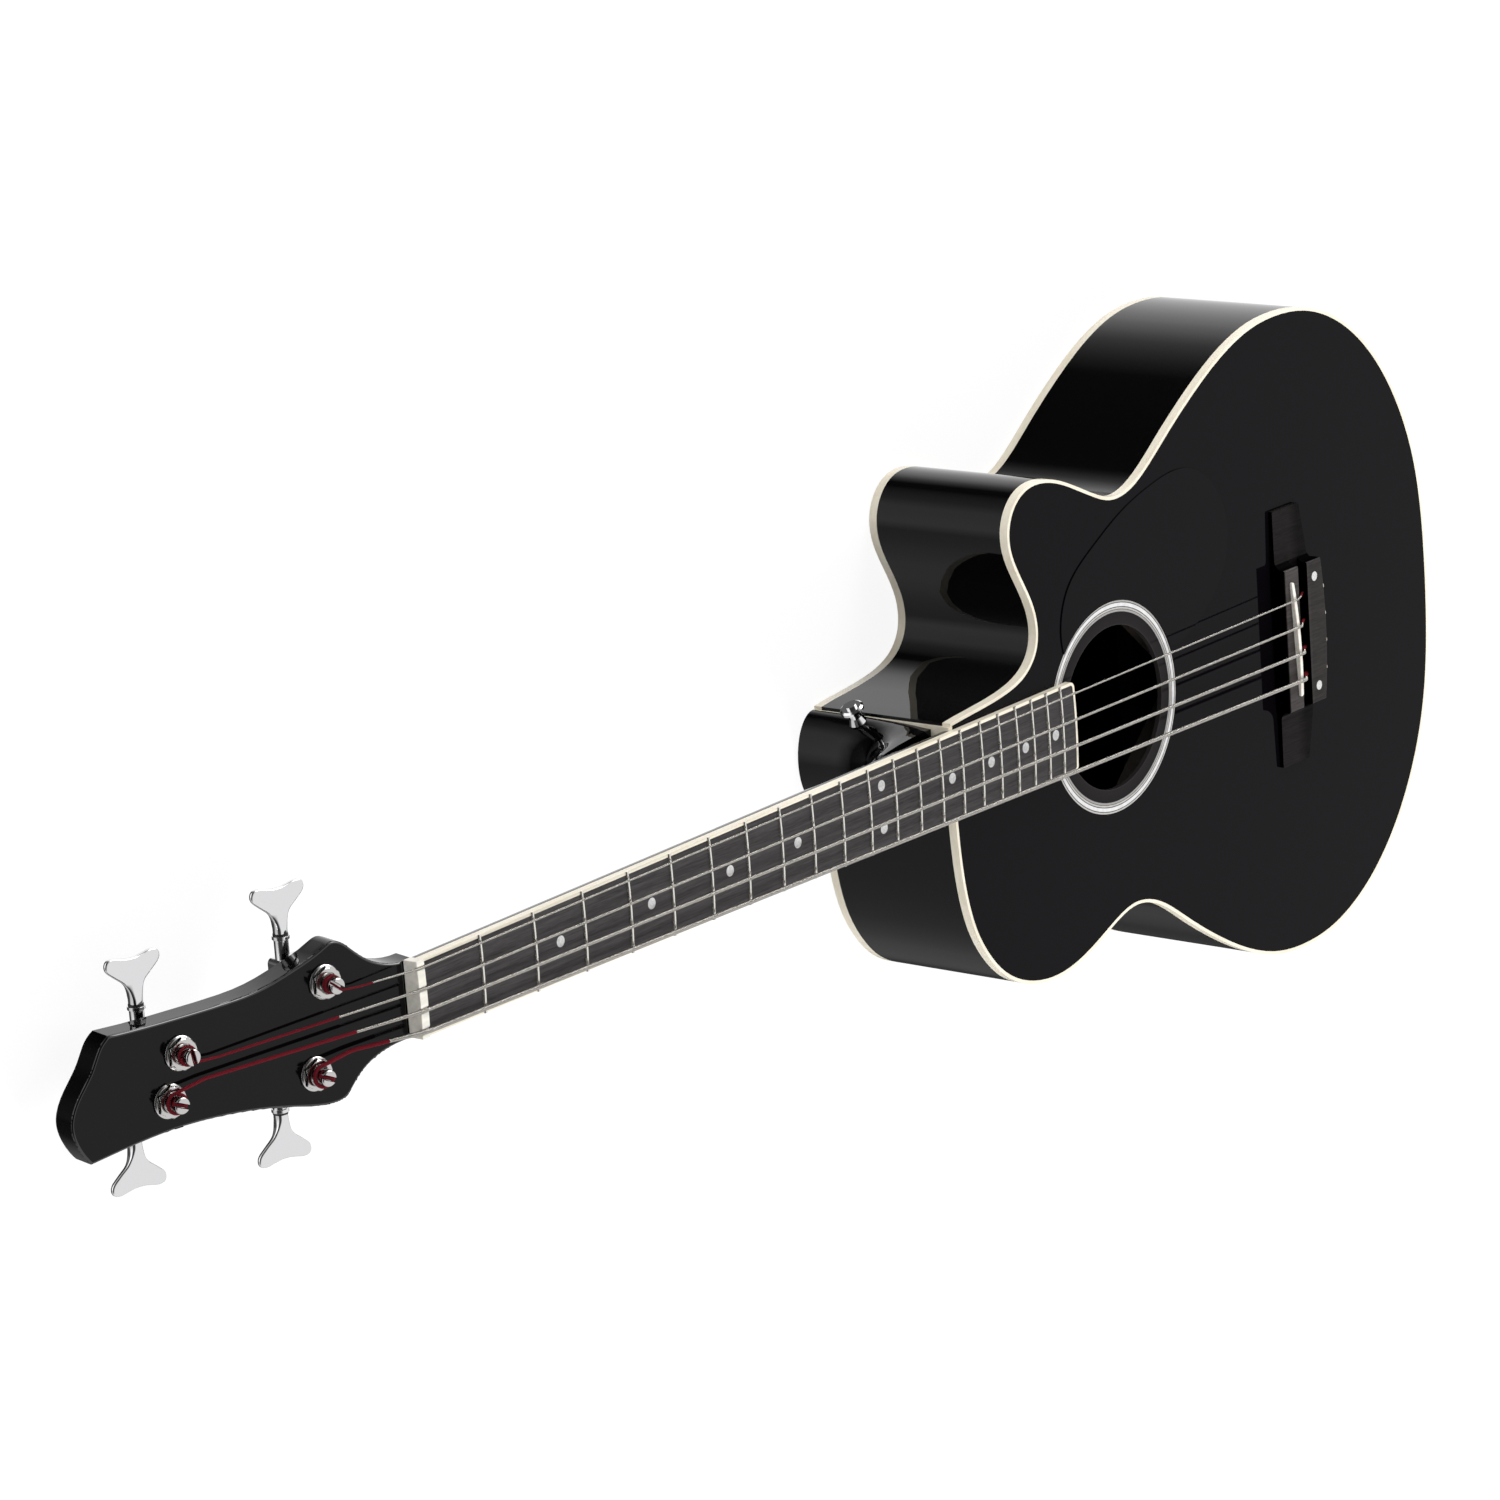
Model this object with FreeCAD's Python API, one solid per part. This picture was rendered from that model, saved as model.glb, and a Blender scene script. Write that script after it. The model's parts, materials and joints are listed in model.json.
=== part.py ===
import FreeCAD, Part
import math
import os

from FreeCAD import Matrix, Placement, Rotation, Vector

# Acoustic bass guitar with a rounded cutaway, lying on its back.
# The pieces are drawn in the top frame: +X from nut to tail, +Y to the thin-string side, +Z up,
# with Z zero on the soundboard's outer face and X zero at the nominal saddle line.
# The body is deeper at the tail, so at the end everything is turned about Y until the back lies level,
# with the origin on the back's outer face, on the centre line, under the saddle line.

# Overall sizes
SCALE_LENGTH = 812.8
BODY_LENGTH = 516.0
LOWER_BOUT_WIDTH = 412.0
NUT_TO_BODY = 468.0
DEPTH_UNDER_SADDLE = 109.5
DEPTH_AT_NECK = 100.5
OVERRUN = 4.0
FIT_GAP = 0.05
GLUE_LINE_GAP = 0.1

# Plates, sides and edge trim
TOP_THICKNESS = 3.0
BACK_THICKNESS = 3.0
SIDE_THICKNESS = 3.0
BINDING_WIDTH = 2.0
BINDING_HEIGHT = 5.5
LINING_WIDTH = 6.0
LINING_HEIGHT = 12.0
BLOCK_LENGTH = 50.0
BLOCK_WIDTH = 56.0
TAIL_BLOCK_LENGTH = 18.0
TAIL_BLOCK_WIDTH = 76.0
OUTLINE_SAMPLES = 84
FRONT_SEARCH_SHARE = 0.95
FRONT_SEARCH_STEPS = 40

# Soundhole, inlaid ring and pickguard
HOLE_TO_SADDLE = 181.8
HOLE_RADIUS = 50.4
RING_INNER_RADIUS = 58.4
RING_OUTER_RADIUS = 65.4
RING_DEPTH = 0.8
PICKGUARD_THICKNESS = 0.7

# Fretboard, frets, dots and nut
FRET_COUNT = 21
DOTTED_FRETS = (3, 5, 7, 9, 12, 15, 17, 19, 21)
OCTAVE_FRET = 12
DOT_PAIR_SHARE = 0.5
BOARD_THICKNESS = 5.0
BOARD_LENGTH = 586.0
BOARD_WIDTH_AT_NUT = 42.3
BOARD_WIDTH_AT_END = 55.4
BOARD_RADIUS = 406.0
BOARD_TRIM_WIDTH = 1.8
BOARD_CORNER_RADIUS = 3.5
FRET_CROWN_WIDTH = 2.3
FRET_CROWN_HEIGHT = 1.1
FRET_TANG_WIDTH = 0.6
FRET_TANG_DEPTH = 1.8
DOT_RADIUS = 3.2
DOT_DEPTH = 1.5
NUT_LENGTH = 6.0
NUT_WIDTH = 42.6
NUT_HEIGHT_OVER_BOARD = 1.9
NUT_SEAT_DEPTH = 3.0
NUT_SLOT_SLOPE = 16.0
NUT_SLOT_GAP = 0.45
NUT_SLOT_SIDE_GAP = 0.3
STRING_SPREAD_AT_NUT = 34.6

# Neck and headstock
NECK_DEPTH_AT_NUT = 15.5
NECK_DEPTH_AT_BODY = 20.0
HEEL_WIDTH = 57.0
HEEL_NOSE = 18.0
JOINT_STRIP_THICKNESS = 1.5
HEAD_TILT = 12.0
HEAD_LENGTH = 209.0
HEAD_WIDTH = 88.0
HEAD_THICKNESS = 15.0
VENEER_THICKNESS = 1.5
ROD_RADIUS = 3.0
ROD_DEPTH = 9.5
ROD_NUT_RADIUS = 4.6
ROD_NUT_LENGTH = 16.0
ROD_NUT_SOCKET = 5.0
ROD_SETBACK = 22.0
ROD_THREAD_LENGTH = 8.0

# Bridge and saddle: fronts lie before the nominal saddle line, rears and setbacks behind it
BRIDGE_LENGTH = 166.0
BRIDGE_BLOCK_LENGTH = 92.0
BRIDGE_HEIGHT = 10.8
BRIDGE_FRONT = 8.4
BRIDGE_REAR = 36.5
BRIDGE_BELLY = 3.5
BRIDGE_EDGE_RADIUS = 1.2
BRIDGE_RIDGE_REAR = 7.0
GROOVE_REAR = 17.0
GROOVE_DEPTH = 7.0
WING_HEIGHT = 3.2
WING_END_HEIGHT = 2.6
WING_FRONT = 7.8
WING_END_FRONT = 7.1
WING_REAR = 29.0
WING_END_REAR = 22.6
WING_CORNER_RADIUS = 1.5
COVE_RADIUS = 5.5
SADDLE_WIDTH = 3.0
SADDLE_LENGTH = 75.0
SADDLE_RISE = 3.2
SADDLE_DEPTH = 5.8
SADDLE_END_SHARE = 0.49
SADDLE_SETBACK = 1.1
SADDLE_SLANT = 4.0
STRING_SPREAD_AT_SADDLE = 52.6
ANCHOR_DEPTH = 4.0
BALL_RADIUS = 2.6
BALL_LENGTH = 4.0
BALL_PROUD = 1.8
BRIDGE_DOT_RADIUS = 3.0
BRIDGE_DOT_THICKNESS = 1.2
BRIDGE_DOT_SPREAD = 70.9
BRIDGE_DOT_SETBACK = 25.0
BOLT_RADIUS = 2.0
BOLT_HEAD_RADIUS = 2.9
BOLT_HEAD_HEIGHT = 2.2
BOLT_NUT_WIDTH = 7.0
BOLT_NUT_HEIGHT = 3.0

# Braces
BRACE_WIDTH = 8.0
BRACE_HEIGHT = 12.0
BRIDGE_PLATE_THICKNESS = 2.5
BRIDGE_PLATE_WIDTH = 116.0
BRIDGE_PLATE_FRONT = 25.0
X_BRACE_ANGLE = 42.0
X_BRACE_TO_SADDLE = 96.0
# Lower bars: share of the way from saddle line to tail, share of half the lower bout that each spans.
LOWER_BRACE_SHARES = [(0.36, 0.58), (0.62, 0.52)]
# Back bars: shares of the body's length from the neck.
BACK_BRACE_SHARES = [0.24, 0.42, 0.62, 0.80]

# Tuning machines
POST_RADIUS = 5.0
POST_HEIGHT = 12.8
POST_WAIST_RADIUS = 3.7
POST_WAIST_BOTTOM = 4.4
POST_WAIST_TOP = 10.2
POST_SLOT_WIDTH = 3.0
POST_SLOT_DEPTH = 3.4
POST_NECK_RADIUS = 3.2
POST_PIVOT_RADIUS = 2.4
POST_SHOULDER_DEPTH = 1.5
POST_STEP_GAP = 1.0
BUSHING_RADIUS = 6.4
BUSHING_HEX_WIDTH = 15.6
BUSHING_HEX_HEIGHT = 2.8
WASHER_RADIUS = 9.3
WASHER_THICKNESS = 1.2
GEAR_TEETH = 18
GEAR_MODULE = 0.65
GEAR_WIDTH = 3.0
GEAR_TOOTH_THICKNESS = 0.72
TOOTH_ROOT_SHARE = 1.3
WORM_OFFSET = 9.0
WORM_LENGTH = 9.0
WORM_THREAD_THICKNESS = 0.9
WORM_TURNS = 3.5
WORM_REACH_SHARE = 0.9
THREAD_SINK = 0.2
FLANK_ANGLE = 20.0
SHAFT_DROP = 8.0
SHAFT_RADIUS = 2.4
SHAFT_PIVOT_RADIUS = 1.6
SHAFT_PIVOT_EXTRA = 1.0
HOUSING_RADIUS = 10.6
HOUSING_DEPTH = 14.0
HOUSING_WALL = 1.8
HOUSING_BOX_SHARE = 0.75
HOUSING_CORNER_RADIUS = 3.0
HOUSING_STEP_GAP = 0.1
GEAR_SIDE_GAP = 0.5
WORM_SIDE_GAP = 0.4
WORM_END_GAP = 0.3
COVER_THICKNESS = 1.4
COVER_LAP = 0.9
TUBE_RADIUS = 3.9
TUBE_END = 23.0
TUBE_ROOT_LAP = 1.0
COLLAR_RADIUS = 4.7
COLLAR_LENGTH = 1.8
KEY_RING_RADIUS = 4.1
KEY_RING_LENGTH = 1.2
KEY_RUNNING_GAP = 0.2
KEY_SPAN = 33.0
KEY_REACH = 50.5
KEY_THICKNESS = 3.2
KEY_STEM_RADIUS = 3.6
KEY_STEM_SHARE = 0.3
MACHINE_SCREW_RADIUS = 1.3
MACHINE_SCREW_LENGTH = 9.0
MACHINE_SCREW_HEAD_RADIUS = 2.4
MACHINE_SCREW_HEAD_HEIGHT = 1.4
LUG_REACH = 2.6
LUG_THICKNESS = 3.0
LUG_RIM = 1.6

# Strap buttons
BUTTON_RADIUS = 7.2
BUTTON_WAIST_RADIUS = 3.8
BUTTON_FOOT_RADIUS = 5.5
BUTTON_HEIGHT = 11.5
# Heights of the button's waist, from and to, and of its rim, from and to, as shares of its height.
BUTTON_HEIGHT_SHARES = (0.35, 0.55, 0.78, 0.92)
BUTTON_CROWN_SHARE = 0.82
BUTTON_SCREW_RADIUS = 1.9
BUTTON_SCREW_LENGTH = 22.0
BUTTON_HEAD_RADIUS = 3.4
BUTTON_HEAD_HEIGHT = 1.6
HEEL_BUTTON_SETBACK = 8.0
HEEL_BUTTON_DEPTH = 62.0
BUTTON_SEAT_GAP = 0.25

# Strings, thick to thin: name, diameter, turns on the post
STRINGS = {
    "string_e": (2.6, 0.75),
    "string_a": (2.15, 1.0),
    "string_d": (1.65, 1.25),
    "string_g": (1.2, 1.75),
}
STRING_CLEARANCE = 0.3
TURN_GAP = 0.55
STRING_SEAT_GAP = 0.3
RIDGE_LEAN = 26.0
SADDLE_LEAN = 10.0
STRING_HOLE_GAP = 0.4
# Radii of a string's bends, from ball end to post, and its run before the hole, as shares of its diameter.
STRING_BEND_SHARES = [1.5, 1.5, 2.0, 10.0, 10.0]
STRING_HOLE_RUN_SHARE = 0.7
# Straight run onto the post, as a share of the winding's radius.
STRING_ENTRY_SHARE = 4.0

# Body outline, as shares of the body's length from the neck and of half the lower bout.
BASS_OUTLINE_SHARES = [
    (0.0, -0.146), (0.002, -0.231), (0.012, -0.397), (0.024, -0.487), (0.046, -0.578), (0.078, -0.658),
    (0.126, -0.715), (0.187, -0.731), (0.235, -0.707), (0.288, -0.657), (0.342, -0.623), (0.388, -0.655),
    (0.439, -0.738), (0.509, -0.852), (0.582, -0.945), (0.635, -0.986), (0.689, -1.0), (0.749, -0.988),
    (0.808, -0.940), (0.884, -0.812), (0.949, -0.605), (0.985, -0.385), (0.997, -0.20),
]
TAIL_SHARES = [(1.0, 0.0)]
TREBLE_LOWER_SHARES = [(x, -y) for x, y in reversed(BASS_OUTLINE_SHARES) if x > 0.33]
CUTAWAY_SHARES = [
    (0.307, 0.645), (0.268, 0.690), (0.222, 0.736), (0.185, 0.748), (0.158, 0.731), (0.140, 0.694),
    (0.130, 0.645), (0.129, 0.588), (0.138, 0.522), (0.163, 0.408), (0.172, 0.332), (0.169, 0.272),
    (0.153, 0.220), (0.131, 0.192), (0.095, 0.172), (0.050, 0.160), (0.0, 0.148),
]
# Headstock outline, as shares of its length from the nut and of half its width.
HEAD_TREBLE_SHARES = [
    (-0.03, 0.468), (0.045, 0.492), (0.097, 0.595), (0.143, 0.768), (0.180, 0.915), (0.204, 0.955),
    (0.240, 0.900), (0.326, 0.755), (0.434, 0.630), (0.541, 0.592), (0.652, 0.586), (0.760, 0.588),
    (0.872, 0.607),
]
HEAD_END_SHARES = [
    (0.872, 0.607), (0.898, 0.50), (0.926, 0.27), (0.978, -0.06), (1.0, -0.33), (0.990, -0.575),
    (0.955, -0.841),
]
HEAD_BASS_SHARES = [
    (0.955, -0.841), (0.871, -0.790), (0.782, -0.745), (0.686, -0.722), (0.573, -0.743), (0.453, -0.811),
    (0.333, -0.932), (0.242, -1.0), (0.208, -0.975), (0.170, -0.809), (0.124, -0.640), (0.064, -0.535),
    (-0.03, -0.495),
]
# Tuner stations: side sign, share of the head's length, share of half its width, key's turn at rest.
TUNER_SHARES = {
    "g": (1, 0.240, 0.500, 6.0),
    "d": (1, 0.676, 0.162, 0.0),
    "e": (-1, 0.290, -0.575, 20.0),
    "a": (-1, 0.720, -0.366, 15.0),
}
# Pickguard outline, as shares of the body's length from the neck and of half the lower bout.
PICKGUARD_SHARES = [
    (0.2245, 0.205), (0.2225, 0.330), (0.236, 0.400), (0.289, 0.497), (0.359, 0.580), (0.413, 0.618),
    (0.476, 0.634), (0.514, 0.604), (0.549, 0.520), (0.563, 0.440), (0.561, 0.335), (0.538, 0.240),
    (0.497, 0.160), (0.450, 0.110),
]
# Heel sections: shares of the body's depth below the soundboard, of the heel's nose and of its width.
HEEL_SECTION_SHARES = [
    (1.06, 1.0, 1.0), (0.78, 1.03, 1.0), (0.52, 1.22, 0.99), (0.38, 1.65, 0.975), (0.29, 2.3, 0.96),
    (0.215, 3.4, 0.94), (0.13, 4.9, 0.92),
]
# Key outline: shares of half the span and of the reach from stem to tips.
KEY_SHARES = [
    (0.22, 0.0), (0.23, 0.20), (0.36, 0.42), (0.70, 0.62), (0.96, 0.76), (1.0, 0.88), (0.90, 0.99),
    (0.66, 1.0), (0.30, 0.945), (0.0, 0.93),
]

# Derived places
X_NUT = -SCALE_LENGTH
X_JOINT = X_NUT + NUT_TO_BODY
X_TAIL = X_JOINT + BODY_LENGTH
X_HOLE = -HOLE_TO_SADDLE
X_BOARD_END = X_NUT + BOARD_LENGTH
HALF_BOUT = LOWER_BOUT_WIDTH / 2
TAPER = (DEPTH_UNDER_SADDLE - DEPTH_AT_NECK) / -X_JOINT
TAPER_ANGLE = math.degrees(math.atan(TAPER))
DEPTH_AT_TAIL = DEPTH_UNDER_SADDLE + TAPER * X_TAIL
BELOW_ALL = -DEPTH_AT_TAIL - OVERRUN
ABOVE_ALL = DEPTH_AT_TAIL + OVERRUN
SADDLE_CROWN = BRIDGE_HEIGHT + SADDLE_RISE
GROOVE_FLOOR = BRIDGE_HEIGHT - GROOVE_DEPTH
ANCHOR_HEIGHT = BRIDGE_HEIGHT - ANCHOR_DEPTH
HALF_BLOCK = BRIDGE_BLOCK_LENGTH / 2
BELLY_RADIUS = (HALF_BLOCK ** 2 + BRIDGE_BELLY ** 2) / (2 * BRIDGE_BELLY)
ROD_AXIS_START = (X_NUT + ROD_SETBACK, 0, -ROD_DEPTH)
ROD_AXIS_END = (X_JOINT + SIDE_THICKNESS + BLOCK_LENGTH + ROD_THREAD_LENGTH, 0, -ROD_DEPTH)
ORIGIN = Vector(0, 0, 0)
UP = Vector(0, 0, 1)
ALONG_X = Vector(1, 0, 0)
ALONG_Y = Vector(0, 1, 0)

# The head's own frame: X to the tip, Y to the thick-string side, Z up from its face
HEAD_FACE_Z = -NUT_SEAT_DEPTH
HEAD_ORIGIN = Vector(X_NUT - NUT_LENGTH, 0, HEAD_FACE_Z)
TILT = math.radians(HEAD_TILT)
TO_TIP = Vector(-math.cos(TILT), 0, -math.sin(TILT))
TO_BASS = Vector(0, -1, 0)
FACE_NORMAL = Vector(-math.sin(TILT), 0, math.cos(TILT))
HEAD_TURN = Matrix(
    TO_TIP.x, TO_BASS.x, FACE_NORMAL.x, HEAD_ORIGIN.x,
    TO_TIP.y, TO_BASS.y, FACE_NORMAL.y, HEAD_ORIGIN.y,
    TO_TIP.z, TO_BASS.z, FACE_NORMAL.z, HEAD_ORIGIN.z,
    0, 0, 0, 1)

# A tuning machine, in the frame of the head
SHAFT_Z = -HEAD_THICKNESS - SHAFT_DROP
PITCH_RADIUS = GEAR_MODULE * GEAR_TEETH / 2
WORM_PITCH_RADIUS = WORM_OFFSET - PITCH_RADIUS
WORM_LEAD = math.pi * GEAR_MODULE
HOUSING_LOW = -HEAD_THICKNESS - HOUSING_DEPTH
FLANK = math.tan(math.radians(FLANK_ANGLE))
TIP_RISE = GEAR_MODULE
ROOT_FALL = GEAR_MODULE * TOOTH_ROOT_SHARE


def box(low, high):
    """Box between two corners."""
    size = [b - a for a, b in zip(low, high)]
    return Part.makeBox(size[0], size[1], size[2], Vector(*low))


def rod(radius, start, end):
    """Cylinder from one point to another."""
    axis = Vector(*end) - Vector(*start)
    return Part.makeCylinder(radius, axis.Length, Vector(*start), axis)


def prism(points, low, high, plane="xy"):
    """Polygon drawn in a plane and pushed along the third axis between two values."""
    lift = {"xy": lambda a, b, c: Vector(a, b, c), "xz": lambda a, b, c: Vector(a, c, b)}[plane]
    corners = [lift(a, b, low) for a, b in points]
    face = Part.Face(Part.makePolygon(corners + corners[:1]))
    return face.extrude(lift(0, 0, high - low))


def spline(points):
    """Smooth edge through points."""
    curve = Part.BSplineCurve()
    curve.interpolate(points)
    return curve.toShape()


def half_ellipse(start, end, reach):
    """Half of an ellipse between two points, bulging by the vector reach."""
    middle = (start + end) * 0.5
    poles = [start, start + reach, middle + reach, end + reach, end]
    corner = math.sqrt(0.5)
    curve = Part.BSplineCurve()
    curve.buildFromPolesMultsKnots(poles, [3, 2, 3], [0, 1, 2], False, 2, [1, corner, 1, corner, 1])
    return curve.toShape()


def hexagon(width, low, high, centre=(0, 0)):
    """Hexagonal bar of a given width across its flats."""
    radius = width / math.sqrt(3)
    turns = [math.radians(60 * k) for k in range(6)]
    corners = [(centre[0] + radius * math.cos(t), centre[1] + radius * math.sin(t)) for t in turns]
    return prism(corners, low, high)


def joined(shapes):
    """One solid from touching or crossing shapes."""
    return shapes[0].multiFuse(shapes[1:]).removeSplitter()


def tube(outer, inner, start, end):
    """Ring with a round bore, from one point to another."""
    return rod(outer, start, end).cut(rod(inner, start, end))


def upright_edges(shape, test):
    """Edges that run along Z and whose middle passes a test."""
    return [e for e in shape.Edges if abs(e.tangentAt(e.FirstParameter).z) > 0.9 and test(e.CenterOfMass)]


# Lying flat: the back plane falls toward the tail in the top frame.
LAY_FLAT = Placement(ORIGIN, Rotation(ALONG_Y, -TAPER_ANGLE)) * Placement(
    Vector(0, 0, DEPTH_UNDER_SADDLE), Rotation())


def save(name, shape):
    """Turn a piece to the resting frame and write it."""
    solids = [s.transformed(LAY_FLAT.toMatrix(), copy=True) for s in shape.Solids]
    result = solids[0] if len(solids) == 1 else Part.makeCompound(solids)
    result.exportStep(f"parts/{name}.step")
    print(f"{name}: {len(solids)} solids, {sum(s.Volume for s in solids):.1f} mm3, valid {result.isValid()}")
    return result


# Body outline and the bodies cut from it

def outline_points(shares):
    """Points of the top frame from body shares."""
    return [Vector(X_JOINT + x * BODY_LENGTH, y * HALF_BOUT, 0) for x, y in shares]


def body_edge(inset):
    """The outline from the bass side of the neck round the tail to the cutaway's start, moved inwards."""
    points = outline_points(BASS_OUTLINE_SHARES + TAIL_SHARES + TREBLE_LOWER_SHARES + CUTAWAY_SHARES)
    edge = spline(points)
    if inset == 0:
        return edge

    def moved(length):
        """Point of the outline at a length along it, moved inwards."""
        parameter = edge.getParameterByLength(length)
        along = edge.tangentAt(parameter)
        return edge.valueAt(parameter) + Vector(-along.y, along.x, 0) * inset

    # The moved curve ends level with its start, so that the joint's face stays square.
    front = moved(0).x
    low, high = edge.Length * FRONT_SEARCH_SHARE, edge.Length
    for _ in range(FRONT_SEARCH_STEPS):
        middle = (low + high) / 2
        low, high = (middle, high) if moved(middle).x > front else (low, middle)
    points = [moved(low * k / OUTLINE_SAMPLES) for k in range(OUTLINE_SAMPLES + 1)]
    return spline(points)


def body_column(inset):
    """Everything inside the outline moved in by inset, from well below the back to the soundboard's face."""
    edge = body_edge(inset)
    first, last = edge.valueAt(edge.FirstParameter), edge.valueAt(edge.LastParameter)
    return Part.Face(Part.Wire([edge, Part.makeLine(last, first)])).extrude(Vector(0, 0, BELOW_ALL))


def above_back(low, high):
    """Slab between two heights above the back's outer face."""
    slab = box((-BODY_LENGTH, -LOWER_BOUT_WIDTH, low), (BODY_LENGTH, LOWER_BOUT_WIDTH, high))
    slab.Placement = Placement(Vector(0, 0, -DEPTH_UNDER_SADDLE), Rotation(ALONG_Y, TAPER_ANGLE))
    return slab


def level_slab(low, high):
    """Slab between two heights of the top frame, over the whole body."""
    return box((X_JOINT - OVERRUN, -LOWER_BOUT_WIDTH, low), (X_TAIL + OVERRUN, LOWER_BOUT_WIDTH, high))


COLUMN_OUTER = body_column(0)
COLUMN_TRIM = body_column(BINDING_WIDTH)
COLUMN_INNER = body_column(SIDE_THICKNESS)
COLUMN_LINING = body_column(SIDE_THICKNESS + LINING_WIDTH)
COLUMN_BRACES = body_column(SIDE_THICKNESS + LINING_WIDTH + GLUE_LINE_GAP)
ROD_TUNNEL = rod(ROD_RADIUS + GLUE_LINE_GAP, (X_JOINT - OVERRUN, 0, -ROD_DEPTH), ROD_AXIS_END)


def make_body():
    """Plates, sides, trim, linings, blocks and braces."""
    trim_ring = COLUMN_OUTER.cut(COLUMN_TRIM)
    outer_wall = trim_ring.common(level_slab(BELOW_ALL, -BINDING_HEIGHT)).common(
        above_back(BINDING_HEIGHT, ABOVE_ALL))
    inner_wall = COLUMN_TRIM.cut(COLUMN_INNER).common(level_slab(BELOW_ALL, -TOP_THICKNESS)).common(
        above_back(BACK_THICKNESS, ABOVE_ALL))
    button_hole = rod(BUTTON_SCREW_RADIUS, (X_TAIL - BUTTON_SCREW_LENGTH, 0, -DEPTH_AT_TAIL / 2),
                      (X_TAIL + OVERRUN, 0, -DEPTH_AT_TAIL / 2))
    save("side_rim", joined([outer_wall, inner_wall]).cut(ROD_TUNNEL).cut(button_hole))
    save("top_binding", trim_ring.common(level_slab(-BINDING_HEIGHT, 0)))
    save("back_binding", trim_ring.common(above_back(0, BINDING_HEIGHT)))

    hole_end = -TOP_THICKNESS - BRIDGE_PLATE_THICKNESS - OVERRUN
    bolt_holes = [rod(BOLT_RADIUS + FIT_GAP, (x, y, hole_end), (x, y, OVERRUN)) for x, y in bolt_places()]
    hole = rod(HOLE_RADIUS, (X_HOLE, 0, -TOP_THICKNESS - OVERRUN), (X_HOLE, 0, OVERRUN))
    ring = tube(RING_OUTER_RADIUS, RING_INNER_RADIUS, (X_HOLE, 0, -RING_DEPTH), (X_HOLE, 0, 0))
    top = COLUMN_TRIM.common(level_slab(-TOP_THICKNESS, 0)).cut(hole).cut(ring)
    save("soundboard", top.cut(Part.makeCompound(bolt_holes)))
    save("rosette", ring)
    save("back_plate", COLUMN_TRIM.common(above_back(0, BACK_THICKNESS)))

    inside = COLUMN_INNER.common(level_slab(BELOW_ALL, -TOP_THICKNESS)).common(
        above_back(BACK_THICKNESS, ABOVE_ALL))
    front, rear = X_JOINT + SIDE_THICKNESS, X_TAIL - SIDE_THICKNESS
    neck_block = inside.common(box(
        (front - OVERRUN, -BLOCK_WIDTH / 2, BELOW_ALL), (front + BLOCK_LENGTH, BLOCK_WIDTH / 2, 0)))
    tail_block = inside.common(box(
        (rear - TAIL_BLOCK_LENGTH, -TAIL_BLOCK_WIDTH / 2, BELOW_ALL), (X_TAIL, TAIL_BLOCK_WIDTH / 2, 0)))
    save("neck_block", neck_block.cut(ROD_TUNNEL))
    save("tail_block", tail_block.cut(button_hole))
    blocks = neck_block.fuse(tail_block)
    lining_ring = COLUMN_INNER.cut(COLUMN_LINING).cut(blocks)
    save("top_lining", lining_ring.common(level_slab(-TOP_THICKNESS - LINING_HEIGHT, -TOP_THICKNESS)))
    save("back_lining", lining_ring.common(above_back(BACK_THICKNESS, BACK_THICKNESS + LINING_HEIGHT)))
    make_braces(blocks, bolt_holes)


def bar(x, angle, start, end, low, high):
    """Straight brace through a point of the centre line, turned about Z, between two places along it."""
    shape = box((start, -BRACE_WIDTH / 2, low), (end, BRACE_WIDTH / 2, high))
    shape.Placement = Placement(Vector(x, 0, 0), Rotation(UP, angle))
    return shape


def make_braces(blocks, bolt_holes):
    """Crossed and transverse bars under the soundboard, four bars across the back, and the bridge plate."""
    low, high, reach = -TOP_THICKNESS - BRACE_HEIGHT, -TOP_THICKNESS, BODY_LENGTH
    whole = bar(-X_BRACE_TO_SADDLE, X_BRACE_ANGLE, -reach, reach, low, high)
    lap = bar(-X_BRACE_TO_SADDLE, X_BRACE_ANGLE, -reach, reach, low - OVERRUN, OVERRUN)
    crossed = [bar(-X_BRACE_TO_SADDLE, -X_BRACE_ANGLE, start, end, low, high).cut(lap)
               for start, end in ((-reach, 0), (0, reach))]
    crossing = whole.fuse(Part.makeCompound(crossed))
    upper = bar(X_HOLE - HOLE_RADIUS - BRACE_WIDTH, 90, -reach, reach, low, high).cut(crossing)
    lower = [bar(X_TAIL * x, 90, -HALF_BOUT * y, HALF_BOUT * y, low, high) for x, y in LOWER_BRACE_SHARES]
    room = COLUMN_BRACES.cut(blocks)
    pieces = [solid for shape in [whole, upper] + crossed + lower for solid in shape.common(room).Solids]
    # Offcuts shorter than twice a bar's width are left out.
    offcut = 2 * BRACE_WIDTH * BRACE_WIDTH * BRACE_HEIGHT
    save("top_braces", Part.makeCompound([solid for solid in pieces if solid.Volume > offcut]))

    back_bars = []
    for share in BACK_BRACE_SHARES:
        x = X_JOINT + share * BODY_LENGTH
        shape = box((x - BRACE_WIDTH / 2, -HALF_BOUT, BELOW_ALL), (x + BRACE_WIDTH / 2, HALF_BOUT, 0))
        layer = above_back(BACK_THICKNESS, BACK_THICKNESS + BRACE_HEIGHT)
        back_bars += shape.common(room).common(layer).Solids
    save("back_braces", Part.makeCompound(back_bars))

    plate = box((-BRIDGE_PLATE_FRONT, -BRIDGE_PLATE_WIDTH / 2, -TOP_THICKNESS - BRIDGE_PLATE_THICKNESS),
                (BRIDGE_REAR, BRIDGE_PLATE_WIDTH / 2, -TOP_THICKNESS))
    save("bridge_plate", plate.cut(Part.makeCompound(bolt_holes)).cut(crossing))


# Bridge

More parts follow.
